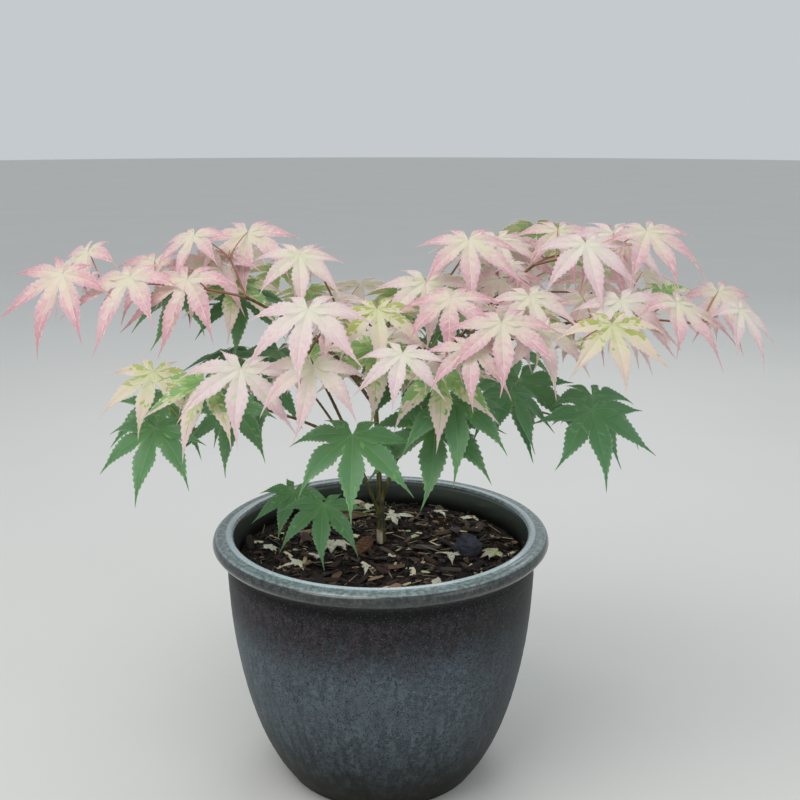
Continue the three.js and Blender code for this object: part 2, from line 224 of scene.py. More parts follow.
# %% Make a plain colour
GLOW_DEPTH = 0.0016
GLOW_TINT = (1, 0.84, 0.7)


def plain(name, colour, roughness=0.55, glow=0.0):
    """A plain colour, for pieces whose colours are dealt out face by face."""
    finish = Finish(name, roughness, glow=glow)
    finish.set("Base Color", linear(colour))
    if glow:
        finish.set("Subsurface Radius", GLOW_TINT)
        finish.set("Subsurface Scale", GLOW_DEPTH)
    return finish.material


print("light goes", GLOW_DEPTH / MM, "mm into a leaf")

# %% Lay the floor
FLOOR_RADIUS = 14


def floor_finish():
    finish = Finish("pale_floor", roughness=0.8)
    speckle = finish.grain(3, detail=2.0)
    finish.set("Base Color", finish.mix(speckle, linear("d3d2ce"), linear("d9d8d4")))
    return finish.material


bpy.ops.mesh.primitive_circle_add(vertices=96, radius=FLOOR_RADIUS, fill_type="NGON")
floor = bpy.context.object
floor.name = "floor"
floor.data.materials.append(floor_finish())
print("floor:", 2 * FLOOR_RADIUS, "m across")

# %% [markdown]
# ## Meshes out of many small shapes
#
# A crown has about a hundred leaves, and a pot of mulch more than a thousand chips. Making an
# object for each would be slow, so shapes are heaped up as runs of numbers and turned into one
# mesh at the end. Each face carries the number of its colour, its paint.

# %% Heap shapes up into one mesh
CREASE = 65  # degrees between two faces from which their edge looks sharp, as a leaf's margin does


def packed(faces):
    """Faces as two runs of numbers: all their corners, and how many corners each has."""
    return np.array([c for face in faces for c in face]), np.array([len(face) for face in faces])


class Heap:
    """Small shapes on their way into one mesh. Points are in millimetres."""

    def __init__(self):
        self.points = []
        self.corners = []
        self.sizes = []
        self.paints = []
        self.count = 0

    def add(self, points, faces, paints=0):
        corners, sizes = faces
        self.points.append(np.asarray(points, float))
        self.corners.append(corners + self.count)
        self.sizes.append(sizes)
        self.paints.append(np.broadcast_to(paints, sizes.shape))
        self.count += len(points)

    def piece(self, name, materials, smooth=True):
        sizes = np.concatenate(self.sizes)
        corners = np.concatenate(self.corners)
        mesh = bpy.data.meshes.new(name)
        mesh.vertices.add(self.count)
        mesh.vertices.foreach_set("co", (np.concatenate(self.points) * MM).ravel())
        mesh.loops.add(len(corners))
        mesh.loops.foreach_set("vertex_index", corners)
        mesh.polygons.add(len(sizes))
        mesh.polygons.foreach_set("loop_start", np.cumsum(sizes) - sizes)
        for material in materials:
            mesh.materials.append(material)
        mesh.polygons.foreach_set("material_index", np.concatenate(self.paints))
        mesh.polygons.foreach_set("use_smooth", np.full(len(sizes), smooth))
        mesh.update(calc_edges=True)
        mesh.set_sharp_from_angle(angle=math.radians(CREASE))
        made = bpy.data.objects.new(name, mesh)
        bpy.context.collection.objects.link(made)
        return made


def settle(piece, slot, *nodes):
    """Lets a piece ride with the plant and stand for the solids it replaces. The slot is not used."""
    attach(piece, "root")
    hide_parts(*nodes)
    print(piece.name, "faces:", len(piece.data.polygons), "replaces:", len(nodes))


print("two faces, packed:", packed([(0, 1, 2), (0, 2, 3, 4)]))


# %% Turn a round shape
def skinned(rings, foot, top):
    """A closed skin over a stack of rings, drawn in to one point below and to one above."""
    sides = len(rings[0])
    points = np.concatenate([*rings, [foot, top]])
    lowest, highest = len(points) - 2, len(points) - 1
    last = (len(rings) - 1) * sides
    faces = []
    for k in range(sides):
        after = (k + 1) % sides
        faces.append((lowest, after, k))
        faces.append((highest, last + k, last + after))
        for ring in range(0, last, sides):
            faces.append((ring + k, ring + after, ring + sides + after, ring + sides + k))
    return points, packed(faces)


def turned(profile, sides, push=None):
    """A closed solid turned about the upright axis. The profile starts and ends on that axis."""
    angle = np.arange(sides) * 2 * math.pi / sides
    rings = []
    for radius, height in profile[1:-1]:
        reach = radius + (push(angle, height) if push else 0)
        level = np.full(sides, height)
        rings.append(np.stack([reach * np.cos(angle), reach * np.sin(angle), level], 1))
    return skinned(rings, (0, 0, profile[0][1]), (0, 0, profile[-1][1]))


print("corners of a turned cone:", len(turned([(0, 0), (5, 0), (0, 9)], 12)[0]))


# %% Draw a tube along a line
def tube(line, radii, sides, start=(0, -1, 0)):
    """A closed tube along a line of points. Radii holds one number a point, or one a corner."""
    line = np.asarray(line, float)
    radii = np.broadcast_to(np.reshape(radii, (len(line), -1)), (len(line), sides))
    angle = np.arange(sides) * 2 * math.pi / sides
    tangents = np.gradient(line, axis=0)
    tangents /= np.linalg.norm(tangents, axis=1)[:, None]
    across = np.array(start, float)
    rings = []
    for at, ahead, size in zip(line, tangents, radii):
        across = across - ahead * across.dot(ahead)
        across /= np.linalg.norm(across)
        beside = np.cross(ahead, across)
        ring = np.outer(size * np.cos(angle), across) + np.outer(size * np.sin(angle), beside)
        rings.append(at + ring)
    return skinned(rings, line[0], line[-1])


print("corners of a short tube:", len(tube([(0, 0, 0), (0, 0, 5), (0, 1, 9)], [2, 2, 1], 6)[0]))


# %% Smooth a line and roughen a surface
def spline(points, count):
    """Count + 1 points on the smooth curve that passes evenly through the given ones."""
    given = np.array([points[0], *points, points[-1]], float)
    made = []
    for place in np.linspace(0, len(points) - 1, count + 1):
        i = min(int(place), len(points) - 2)
        t = place - i
        a, b, c, d = given[i : i + 4]
        bend = (2 * a - 5 * b + 4 * c - d) * t * t + (3 * b - a - 3 * c + d) * t**3
        made.append(b + (c - a) * t / 2 + bend / 2)
    return np.array(made)


def rough(points, scale, seed=0.0):
    """Noise from -1 to 1 at each point, with features of about one over scale millimetres."""
    return np.array([noise.noise(Vector(p) * scale + Vector((seed, 0, 0))) for p in points])


print("points of a smoothed corner:", len(spline([(0, 0), (5, 0), (5, 5)], 12)))

# %% [markdown]
# ## The pot
#
# The pot is wheel-thrown stoneware: a round belly that narrows to a flat foot, a neck, and a
# heavy rolled rim. It could be sculpted, but a thrown pot is a solid of revolution, so it is
# turned from the profile that the packed solid has, in finer steps. The wheel leaves faint rings
# and the kiln a slight warp, and both are in the mesh.

# %% Turn the pot
POT_HEIGHT = 230
FOOT_RADIUS = 90
WALL = 10
FLOOR = 14
SOIL_EDGE = 206
SOIL_TOP = 209
NECK = 208
BELLY = [(FOOT_RADIUS, 3), (102, 22), (115, 52), (126, 92), (134, 140), (137.5, 188), (137, NECK)]
RIM = [(137, NECK), (138, 211.5), (142, 214), (147, 217), (149.9, 221.5), (149, 226), (146, 228.6)]
RIM_TOP = [(146, 228.6), (143, 228.9), (140, 228.8), (137, 229.7), (134.5, POT_HEIGHT), (132, 228.6)]
MOUTH = [(132, 228.6), (130.3, 224), (129.6, 218), (128, NECK)]
POT_SIDES = 160


def thrown(angle, height):
    """How far the wheel's rings and the kiln's warp move the wall of the pot."""
    if height < 4:
        return 0
    rings = 0.12 * math.sin(height * 0.9) * math.sin(height * 0.13 + 1)
    warp = 0.25 * np.sin(2 * angle + 0.7) * height / POT_HEIGHT
    return rings + warp + 0.1 * np.sin(5 * angle + height * 0.02)


def pot_profile():
    belly = spline(BELLY, 60)
    inside = [(r - WALL, z) for r, z in belly[::-1] if FLOOR + 6 < z < SOIL_EDGE - 4]
    lip = [*spline(RIM, 22)[1:], *spline(RIM_TOP, 18)[1:], *spline(MOUTH, 8)[1:]]
    foot = [(0, 0), (70, 0), (84, 0), (87, 0.4), (89, 1.4)]
    return [*foot, *belly, *lip, *inside, (inside[-1][0] - 5, FLOOR), (0, FLOOR)]


print("points of the pot's profile:", len(pot_profile()))

# %% [markdown]
# The glaze pooled and broke as it ran. It is grey-green where it is thick on the rim, purple
# brown below the neck, slate blue with fine dark specks on the belly, and olive over the foot,
# made near black there as painted shade.
# A near black band just under the rim is painted shadow, and the right side is darkened as painted
# shade. An image would hold this too, but bands by height with noisy edges stay sharp at any size.

# %% Mix the colours of the glaze
def wall_colour(finish, height, cloud, mottle, streak):
    """The glaze below the neck: olive at the foot, darkened as painted shade, slate on the belly, purple,
    then a near black band of painted shadow under the rim, and the right side darkened as painted shade.
    """
    drift = (cloud - 0.5) * 34 + (streak - 0.5) * 46
    grey = finish.ramp(cloud * 0.2 + mottle * 0.6 + streak * 0.4, 0.48, 0.74)
    slate = finish.mix(grey, linear("465056"), linear("606d74"))
    slate = finish.mix(finish.ramp(cloud, 0.4, 0.65) * 0.4, slate, linear("45474f"))
    # The foot's olive is partly the glaze's own colour and partly painted shade, made near black.
    olive = finish.mix(grey, linear("0c0c05"), linear("1c1b0f"))
    purple = finish.mix(grey, linear("1f1c1e"), linear("3c373b"))
    colour = finish.mix(finish.ramp(height + drift, 6, 112), olive, slate)
    colour = finish.mix(finish.ramp(height + drift, 138, 188), colour, purple)
    # Painted shadow: a near black band just under the rim, where the rim's shadow falls on the neck.
    colour = finish.mix(finish.ramp(height + 0.2 * drift, 195, 207) * 0.9, colour, linear("0b0b08"))
    # Painted shade: the pot's right side is darkened towards its edge.
    return finish.mix(finish.ramp(finish.along(0) + drift, 40, 130) * 0.6, colour, linear("1d1e1b"))


def rim_colour(finish, height, mottle):
    """The glaze of the rim: dark on the outer side, grey-blue on top, palest at the inner edge, with a
    fainter pale line at the outer edge; both lines are partly the glaze breaking pale and partly painted
    highlights.
    """
    patches = finish.ramp(mottle, 0.35, 0.7)
    side = finish.mix(patches, linear("252827"), linear("40453f"))
    top = finish.mix(patches, linear("566565"), linear("869a9b"))
    colour = finish.mix(finish.ramp(height, 227, 228.4), side, top)
    # Pale lines along the rim's outer and inner edges: partly the glaze breaking pale, partly painted
    # highlights.
    outer_break_and_highlight = finish.ramp(height, 227.4, 227.9) * finish.ramp(height, 228.7, 228.3)
    inner_break_and_highlight = finish.ramp(height, 229.1, 229.6)
    return finish.mix(outer_break_and_highlight * mottle * 0.3 + inner_break_and_highlight * 0.9, colour, linear("bdcfd5"))


def inner_wall(finish, height):
    """1 on the inner wall of the pot, above the soil, and 0 elsewhere."""
    level = {0: finish.place((1000, 1000, 0))}
    across = finish.node("VectorMath", {"operation": "LENGTH"}, level, output=1)
    above = finish.ramp(height, 198, 204) * finish.ramp(height, 228, 225)
    return above * finish.ramp(across, 134, 131)


print("light of slate and of olive:", round(linear("606d74")[1], 3), round(linear("1c1b0f")[1], 3))


# %% Glaze the pot
def glaze_finish():
    finish = Finish("stoneware_glaze", coat_roughness=0.12)
    height = finish.along(2)
    cloud = finish.grain(30, detail=4.0)
    mottle = finish.grain(240, detail=4.0)
    streak = finish.grain(170, detail=3.0, stretch=(1, 1, 0.12))
    fine = finish.grain(900, detail=2.0)
    speck = finish.ramp(finish.grain(760, detail=1.0), 0.55, 0.67)
    collar = finish.ramp(height, 210, 214)
    wall = inner_wall(finish, height)
    colour = wall_colour(finish, height, cloud, mottle, streak)
    colour = finish.mix(collar, colour, rim_colour(finish, height, mottle))
    dots = finish.ramp(fine, 0.56, 0.74) * finish.ramp(height, 5, 90)
    colour = finish.mix(dots * (0.28 + 0.06 * collar), colour, linear("8f94a2"))
    colour = finish.mix(speck * (0.72 - 0.42 * collar), colour, linear("11100f"))
    # Painted shade inside the pot: the inner wall above the soil is near black low down and greyer
    # towards the rim.
    inside = finish.mix(finish.ramp(height, 207, 224), linear("12130e"), linear("49534d"))
    finish.set("Base Color", finish.mix(wall, colour, inside))
    finish.set("Roughness", 0.46 + 0.12 * mottle - 0.18 * collar + 0.1 * wall)
    finish.set("Coat Weight", 0.05 + 0.7 * collar)
    finish.set("Coat IOR", 1.6)
    finish.set("Specular IOR Level", 0.14)
    finish.bump(fine * 0.4 + mottle, 0.25, 0.0006)
    return finish.material


pot_heap = Heap()
pot_heap.add(*turned(pot_profile(), POT_SIDES, thrown))
settle(pot_heap.piece("glazed_pot", [glaze_finish()]), "glaze", "pot")

# %% [markdown]
# ## The soil and its mulch
#
# The pot is filled to a finger below the rim, under a mulch of dark bark. A bump map on a flat
# disc would look flat from the side, so the mulch is made of real chips: each is a short split
# prism with ragged ends. Their browns are dealt out chip by chip.

# %% Fill the pot
rng = np.random.default_rng(11)
SOIL_RADIUS = 127
SOIL_FOOT = 150
SOIL_FOOT_RADIUS = 118
SOIL_SIDES = 150
SOIL_RINGS = 60
SOIL_SAG = 2.5
MULCH_DEPTH = 1.5


def soil_finish():
    finish = Finish("potting_soil", roughness=0.95)
    crumb = finish.grain(260, detail=6.0)
    colour = finish.mix(finish.ramp(crumb, 0.35, 0.7), linear("140e0b"), linear("37291f"))
    finish.set("Base Color", colour)
    finish.bump(crumb, 0.8, 0.002)
    return finish.material


def dish(reach):
    """How much lower the fill lies at this reach from the middle than in the middle."""
    return SOIL_SAG * (reach / SOIL_RADIUS) ** 4


def make_soil():
    middle = SOIL_TOP - MULCH_DEPTH
    surface = [(r, middle - dish(r)) for r in np.linspace(SOIL_RADIUS, 2, SOIL_RINGS)]
    profile = [(0, SOIL_FOOT), (SOIL_FOOT_RADIUS, SOIL_FOOT), *surface, (0, middle)]
    points, faces = turned(profile, SOIL_SIDES)
    top = points[:, 2] > SOIL_TOP - 6
    points[top, 2] += 0.9 * rough(points[top], 0.11) + 0.6 * rough(points[top], 0.35)
    heap = Heap()
    heap.add(points, faces)
    settle(heap.piece("soil_bed", [soil_finish()]), "soil", "soil")


make_soil()

# %% Choose the chips, the straws and the scraps
CHIP_COUNT = 1500
STRAW_COUNT = 76
SCRAP_COUNT = 110
CHIP_BROWNS = ["130e0c", "211713", "30221b", "463027", "54443a", "4b4340", "6b543f", "967a60", "17120f"]
CHIP_SHARES = [0.27, 0.2, 0.13, 0.09, 0.06, 0.08, 0.05, 0.04, 0.08]
CHIP_LENGTHS = [4.5, 7, 11, 17]
LENGTH_SHARES = [0.4, 0.35, 0.19, 0.06]
STRAW_COLOUR = "9c8c70"
SCRAP_COLOURS = ["eae2bf", "cbb88e", "cdd6a6"]
SCRAP_SHARES = [0.55, 0.3, 0.15]
LARGE_CHIP_DEPTH = 4
THIN = 0.7  # how deep a straw or a scrap of leaf is
# Each larger chip: its place, its heading in degrees, its length, its width and its brown
LARGE_CHIPS = [
    ((40, -2), 165, 27, 13, 5),
    ((14, -48), 190, 15, 9, 6),
    ((12, -92), 60, 17, 11, 7),
    ((-52, -76), 12, 40, 5, 2),
    ((60, 34), 200, 22, 8, 4),
    ((-70, 20), 100, 24, 11, 3),
    ((-30, 74), 30, 26, 12, 6),
    ((84, 40), 150, 20, 9, 2),
]
print("bits of mulch:", len(LARGE_CHIPS) + CHIP_COUNT + STRAW_COUNT + SCRAP_COUNT)


# %% Split a chip
CHIP_SIDES = 6


def turn(points, yaw, pitch, roll):
    """Points turned about their own long axis, then tipped, then swung round."""
    c, s = np.cos([yaw, pitch, roll]), np.sin([yaw, pitch, roll])
    swing = np.array([[c[0], -s[0], 0], [s[0], c[0], 0], [0, 0, 1]])
    tip = np.array([[c[1], 0, s[1]], [0, 1, 0], [-s[1], 0, c[1]]])
    spin = np.array([[1, 0, 0], [0, c[2], -s[2]], [0, s[2], c[2]]])
    return points @ (swing @ tip @ spin).T


def flat_ended(count, sides):
    """The faces of a stack of rings, count points in all, that is flat below and above."""
    faces = [tuple(range(sides - 1, -1, -1)), tuple(range(count - sides, count))]
    for ring in range(0, count - sides, sides):
        for k in range(sides):
            after = (k + 1) % sides
            faces.append((ring + k, ring + after, ring + sides + after, ring + sides + k))
    return packed(faces)


def splinter(length, width, depth, rows=5):
    """A split chip of wood or bark: a flat prism of six sides that wanders and has ragged ends."""
    places = np.linspace(-0.5, 0.5, rows) * length
    wander = np.cumsum(rng.normal(0, 0.05 * width, rows))
    points = []
    for i, x in enumerate(places):
        swell = 0.55 + 0.45 * math.sin(math.pi * (i + 0.6) / (rows + 0.2)) + rng.normal(0, 0.06)
        for k in range(CHIP_SIDES):
            angle = 2 * math.pi * k / CHIP_SIDES
            y = wander[i] + 0.5 * width * swell * math.cos(angle) * rng.uniform(0.85, 1.15)
            z = 0.5 * depth * swell * math.sin(angle) * rng.uniform(0.8, 1.2)
            points.append((x + rng.normal(0, 0.04 * length), y, z))
    return np.array(points), flat_ended(len(points), CHIP_SIDES)


print("faces of a chip:", len(flat_ended(5 * CHIP_SIDES, CHIP_SIDES)[1]))


# %% Scatter the mulch
def loose_bit(order):
    """The points, faces and colour of one chip, straw or scrap of leaf, by its place in the count."""
    if order < CHIP_COUNT:
        length = rng.choice(CHIP_LENGTHS, p=LENGTH_SHARES) * rng.uniform(0.8, 1.25)
        width = length * rng.uniform(0.2, 0.5)
        shape = splinter(length, width, rng.uniform(1, 2.2))
        return *shape, rng.choice(len(CHIP_BROWNS), p=CHIP_SHARES)
    if order < CHIP_COUNT + STRAW_COUNT:
        return *splinter(rng.uniform(8, 22), rng.uniform(0.7, 1.3), THIN), len(CHIP_BROWNS)
    length = rng.uniform(3, 15)
    shape = splinter(length, length * rng.uniform(0.2, 0.55), THIN)
    return *shape, len(CHIP_BROWNS) + 1 + rng.choice(len(SCRAP_COLOURS), p=SCRAP_SHARES)


def scatter_mulch():
    heap = Heap()
    for (x, y), heading, length, width, paint in LARGE_CHIPS:
        points, faces = splinter(length, width, LARGE_CHIP_DEPTH)
        points = turn(points, math.radians(heading), 0.06, 0.1) + (x, y, SOIL_TOP + 1.6)
        heap.add(points, faces, paint)
    for order in range(CHIP_COUNT + STRAW_COUNT + SCRAP_COUNT):
        reach = (SOIL_RADIUS - 5) * math.sqrt(rng.uniform(0.002, 1))
        angle = rng.uniform(0, 2 * math.pi)
        points, faces, paint = loose_bit(order)
        points = turn(points, rng.uniform(0, 2 * math.pi), rng.normal(0, 0.2), rng.normal(0, 0.35))
        lift = SOIL_TOP + rng.uniform(-1.2, 1.4) - points[:, 2].min() * 0.6 - dish(reach)
        points = points + (reach * math.cos(angle), reach * math.sin(angle), lift)
        out = np.hypot(points[:, 0], points[:, 1]).max()
        if out > SOIL_RADIUS:
            points[:, :2] *= SOIL_RADIUS / out
        heap.add(points, faces, paint)
    colours = [*CHIP_BROWNS, STRAW_COLOUR, *SCRAP_COLOURS]
    browns = [plain(f"mulch_{i + 1}", code, roughness=0.85) for i, code in enumerate(colours)]
    settle(heap.piece("bark_mulch", browns, smooth=False), "soil")


scatter_mulch()

# %% [markdown]
# Two larger things lie on the mulch: a rough dark stone on the right, and a red-brown flake of
# bark against the foot of the trunk. Each takes the place of its solid. The stone is a ball cut
# back to a few broken faces, and then roughened a little by noise. The flake is a board with
# grooves along it, whose edges are rounded by subdivision.

# %% Lay the stone
def polar(length, heading, rise):
    """A step of a length along a heading, at a rise above the level, both in radians."""
    level = length * math.cos(rise)
    return np.array([level * math.cos(heading), level * math.sin(heading), length * math.sin(rise)])


def stone_finish():
    finish = Finish("dark_stone_finish", roughness=0.85)
    grit = finish.grain(900, detail=3.0)
    vein = finish.grain(160, detail=4.0, stretch=(1, 1, 2.4))
    colour = finish.mix(finish.ramp(vein, 0.3, 0.7), linear("2d2d37"), linear("4b4c5a"))
    colour = finish.mix(finish.ramp(grit, 0.6, 0.75) * 0.3, colour, linear("757684"))
    finish.set("Base Color", colour)
    finish.bump(grit * 0.5 + vein, 0.4, 0.0006)
    return finish.material


STONE_CREASE = 32
# Each face of the stone: the way it looks, in degrees round and up, and how far out it is cut
STONE_CUTS = [(238, 30, 0.66), (292, 46, 0.6), (196, 20, 0.74), (335, 28, 0.8), (30, 35, 0.7)]
STONE_CUTS += [(90, 48, 0.62), (150, 30, 0.7), (265, 4, 0.84), (320, -6, 0.9), (215, -4, 0.86)]


def make_stone():
    """An angular stone: a ball cut back to a few broken faces, then worn a little."""
    low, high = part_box("dark_stone")
    middle = (low + high) / 2
    half = (high - low) / 2
    cuts = []
    for round_about, up, reach in STONE_CUTS:
        away = Vector(polar(1, math.radians(round_about), math.radians(up)))
        cuts.append((away, reach))
    bpy.ops.mesh.primitive_ico_sphere_add(subdivisions=5, radius=1)
    stone = bpy.context.object
    stone.name = "rough_stone"
    for vertex in stone.data.vertices:
        way = vertex.co.normalized()
        size = min([1.25] + [reach / way.dot(away) for away, reach in cuts if way.dot(away) > 0.1])
        size *= 1 + 0.03 * noise.noise(way * 3) + 0.012 * noise.noise(way * 12)
        point = middle + Vector([w * size * h for w, h in zip(way, half)])
        vertex.co = [min(max(p, a), b) for p, a, b in zip(point, low, high)]
    stone.data.materials.append(stone_finish())
    stone.data.polygons.foreach_set("use_smooth", [True] * len(stone.data.polygons))
    stone.data.set_sharp_from_angle(angle=math.radians(STONE_CREASE))
    print("stone:", [round(v * 2000, 1) for v in half], "mm")
    settle(stone, "stone", "dark_stone")


make_stone()

# %% Lay the large flake
FLAKE_PLACE = (-16, -1)
FLAKE_HEADING = 62
FLAKE_PITCH = -0.2
FLAKE_ROLL = 0.1
GROOVE_DEPTH = 0.35
GROOVE_PITCH = 1.9  # radians of the wave to a millimetre
ROUNDING_LEVELS = 2
FLAKE_NEAR = [(-15, -5), (-10, -7), (-6, -8), (2, -7.4), (9, -6), (13, -2)]
FLAKE_FAR = [(15, 1), (12, 4.5), (8, 7), (-1, 7), (-10, 6), (-14, 1)]
# Each level of the flake: how much of its outline it has there, and its height
FLAKE_LEVELS = [(0.93, 0.2), (1, 1.2), (0.99, 3.4), (0.93, 4.6), (0.6, 5), (0.25, 4.6)]


def flake_finish():
    finish = Finish("bark_flake_finish", roughness=0.85)
    fibre = finish.grain(260, detail=4.0, stretch=(1, 3, 1))
    colour = finish.mix(finish.ramp(fibre, 0.3, 0.7), linear("30200f"), linear("7c5536"))
    finish.set("Base Color", colour)
    finish.bump(fibre, 0.7, 0.001)
    return finish.material


def make_flake():
    """A board of bark with grooves along it, and its edges rounded by subdivision."""
    low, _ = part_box("bark_piece")
    outline = np.array(FLAKE_NEAR + FLAKE_FAR, float)
    rings = []
    for share, level in FLAKE_LEVELS:
        ring = np.column_stack([outline * share, np.full(len(outline), level)])
        ring[:, 2] += GROOVE_DEPTH * np.sin(ring[:, 1] * GROOVE_PITCH) * (level > 1)
        rings.append(ring)
    points = turn(np.concatenate(rings), math.radians(FLAKE_HEADING), FLAKE_PITCH, FLAKE_ROLL)
    points[:, :2] += FLAKE_PLACE
    points[:, 2] += low.z / MM
    heap = Heap()
    heap.add(points, flat_ended(len(points), len(outline)))
    flake = heap.piece("bark_flake", [flake_finish()])
    rounding = flake.modifiers.new("rounding", "SUBSURF")
    rounding.levels = rounding.render_levels = ROUNDING_LEVELS
    settle(flake, "chip", "bark_piece")


make_flake()

# %% [markdown]
# ## The trunk and the boughs
#
# A maple of this age has a trunk as thick as a pencil and long whips for boughs. Each is a
# curve that leaves its parent upwards and then levels out. The curves are those of the packed
# solids, written again here, and the skin on them gets what the solids leave out: a collar at
# each fork, swollen joints where old leaves stood, and fine furrows along the bark.

# %% Draw the curves of the trunk and the boughs
TRUNK_FOOT = np.array([0, 12, SOIL_TOP + 0.3])
TRUNK_TOP = np.array([-1, 13, 250.0])
TRUNK_RADIUS = 4
ROOT_FLARE = 1.4

# Each limb: its name, its parent, its place along the parent, its tip, its radii and its arch
LIMBS = [
    ("leader_stem", "trunk", 1, (-5, 20, 345), (2.6, 2.1), 0),
    ("right_stem", "trunk", 0.95, (38, 5, 360), (2.2, 1.7), 0),
    ("left_stem", "trunk", 0.6, (-28, -5, 315), (1.8, 1.4), 0),
    ("bough_left", "leader_stem", 1, (-115, 0, 438), (1.9, 1.3), 0.14),
    ("bough_back", "leader_stem", 1, (-5, 115, 385), (1.9, 1.3), 0.1),
    ("bough_back_left", "leader_stem", 0.9, (-90, 95, 410), (1.8, 1.2), 0.1),
    ("bough_centre", "leader_stem", 0.97, (52, 12, 440), (1.8, 1.2), 0.05),
    ("bough_right_high", "right_stem", 1, (130, -5, 466), (1.8, 1.2), 0.12),
    ("bough_right_low", "right_stem", 0.94, (160, -40, 424), (1.7, 1.2), 0.14),
    ("bough_right_back", "right_stem", 0.8, (120, 95, 425), (1.7, 1.2), 0.1),
    ("bough_front_right", "right_stem", 0.7, (40, -55, 400), (1.6, 1.1), 0.08),
    ("bough_low_right", "right_stem", 0.4, (100, -26, 350), (1.5, 1.1), 0.12),
    ("bough_low_back", "right_stem", 0.25, (50, 95, 345), (1.5, 1.1), 0.12),
    ("bough_front_left", "left_stem", 1, (-58, -58, 400), (1.4, 1.1), 0.06),
    ("bough_low_left", "left_stem", 0.9, (-105, -20, 345), (1.4, 1.1), 0.1),
    ("bough_low_front", "left_stem", 0.7, (-15, -45, 325), (1.3, 1), 0.06),
    ("bough_low_back_left", "left_stem", 0.5, (-70, 78, 338), (1.4, 1), 0.1),
]


class Curve:
    """A limb's line: a bent curve through its foot, its middle and its tip."""

    def __init__(self, foot, tip, arch=0.0):
        self.foot = np.array(foot, float)
        self.tip = np.array(tip, float)
        self.span = np.linalg.norm(self.tip - self.foot)
        self.middle = self.foot + (self.tip - self.foot) * 0.45
        self.middle[2] += arch * self.span

    def at(self, t):
        return (1 - t) ** 2 * self.foot + 2 * (1 - t) * t * self.middle + t * t * self.tip

    def line(self, count, start=0.0, end=1.0):
        return np.array([self.at(t) for t in np.linspace(start, end, count)])


curves = {"trunk": Curve(TRUNK_FOOT, TRUNK_TOP)}
for name, parent, along, tip, radii, arch in LIMBS:
    curves[name] = Curve(curves[parent].at(along), tip, arch)
print("limbs:", len(curves))

# %% [markdown]
# The bark of a young maple is smooth and olive on the trunk, redder on the thin boughs, and dotted
# with pale pores. A picture of bark would stretch at every fork. Noise that is read at the point
# itself doesn't, and drawing it out along the height gives the long streaks of the trunk.

# %% Mix the bark
SCAR_HEIGHT = 219


def bark_finish(name, dark, light, streaks, scar_height=0):
    """Young bark: two browns in long streaks, pale breathing pores, and on the trunk a pale scar."""
    finish = Finish(name, roughness=0.7)
    streak = finish.grain(420, detail=4.0, stretch=streaks)
    blotch = finish.grain(70, detail=3.0)
    colour = finish.mix(finish.ramp(streak + blotch * 0.6, 0.62, 1.0), linear(dark), linear(light))
    pore = finish.ramp(finish.grain(600, detail=1.0), 0.7, 0.76)
    colour = finish.mix(pore * 0.6, colour, linear("b49c74"))
    if scar_height:
        scar = finish.ramp(finish.along(2) - 8 * blotch, scar_height, scar_height - 3)
        scar = scar * finish.ramp(finish.along(0) + 3 * streak, 3.6, 2.2)
        colour = finish.mix(scar * 0.9, colour, linear("d9ccae"))
    finish.set("Base Color", colour)
    finish.bump(streak, 0.6, 0.0006)
    return finish.material


trunk_bark = bark_finish("trunk_bark", "33341c", "605f34", (1, 1, 0.12), SCAR_HEIGHT)
stem_bark = bark_finish("stem_bark", "45431f", "78713c", (1, 1, 0.15))
bough_bark = bark_finish("bough_bark", "4b3a22", "7c6238", (1, 1, 1))
print("nodes in the trunk's bark:", len(trunk_bark.node_tree.nodes))

# %% [markdown]
# Seen close, a young stem isn't smooth. It swells where it leaves its parent and at each joint
# where a pair of leaves once stood, and fine furrows run along it. A bump map would leave its
# outline straight, so the relief is in the mesh: those three move each point of it in or out.

# %% Give a limb its relief
JOINT_STEP = 26
JOINT_SWELLING = 0.16
JOINT_LENGTH = 1.1
COLLAR_LENGTH = 3.5
TWIST = 0.35


def limb_skin(curve, radius, sides, step, seed, swelling=0.45):
    """A limb with a swelling at its foot, a swollen joint every so often, and furrows."""
    rows = max(8, int(curve.span / step))
    line = curve.line(rows)
    angle = np.arange(sides) * 2 * math.pi / sides
    radii = np.zeros((rows, sides))
    for i in range(rows):
        t = i / (rows - 1)
        run = t * curve.span
        collar = swelling * math.exp(-run / COLLAR_LENGTH)
        past_joint = (run % JOINT_STEP) - JOINT_STEP / 2
        joint = JOINT_SWELLING * math.exp(-(past_joint / JOINT_LENGTH) ** 2)
        for k, a in enumerate(angle):
            twisted = a + TWIST * t
            place = Vector((math.cos(twisted) * 2.1, math.sin(twisted) * 2.1, run * 0.12 + seed))
            furrow = 0.05 * noise.noise(place * 1.6) + 0.03 * noise.noise(place * 4)
            radii[i, k] = radius(t, a) * (1 + collar + joint + furrow)
    return tube(line, radii, sides)


print("swollen joints on the trunk:", round(curves["trunk"].span / JOINT_STEP))


# %% Skin the limbs
def trunk_radius(t, angle):
    """The trunk's size, with the lobes of its root flare dying away above the soil."""
    flare = ROOT_FLARE * (1 + 0.35 * math.cos(3 * angle + 0.6)) * math.exp(-9 * t)
    return (TRUNK_RADIUS * (1 - 0.14 * t) + flare) * (1 - 0.3 * math.exp(-t * 12))


def tapering(thick, thin):
    """A limb's size along its length, the same on all its sides."""

    def radius(t, _):
        return thick + (thin - thick) * t

    return radius


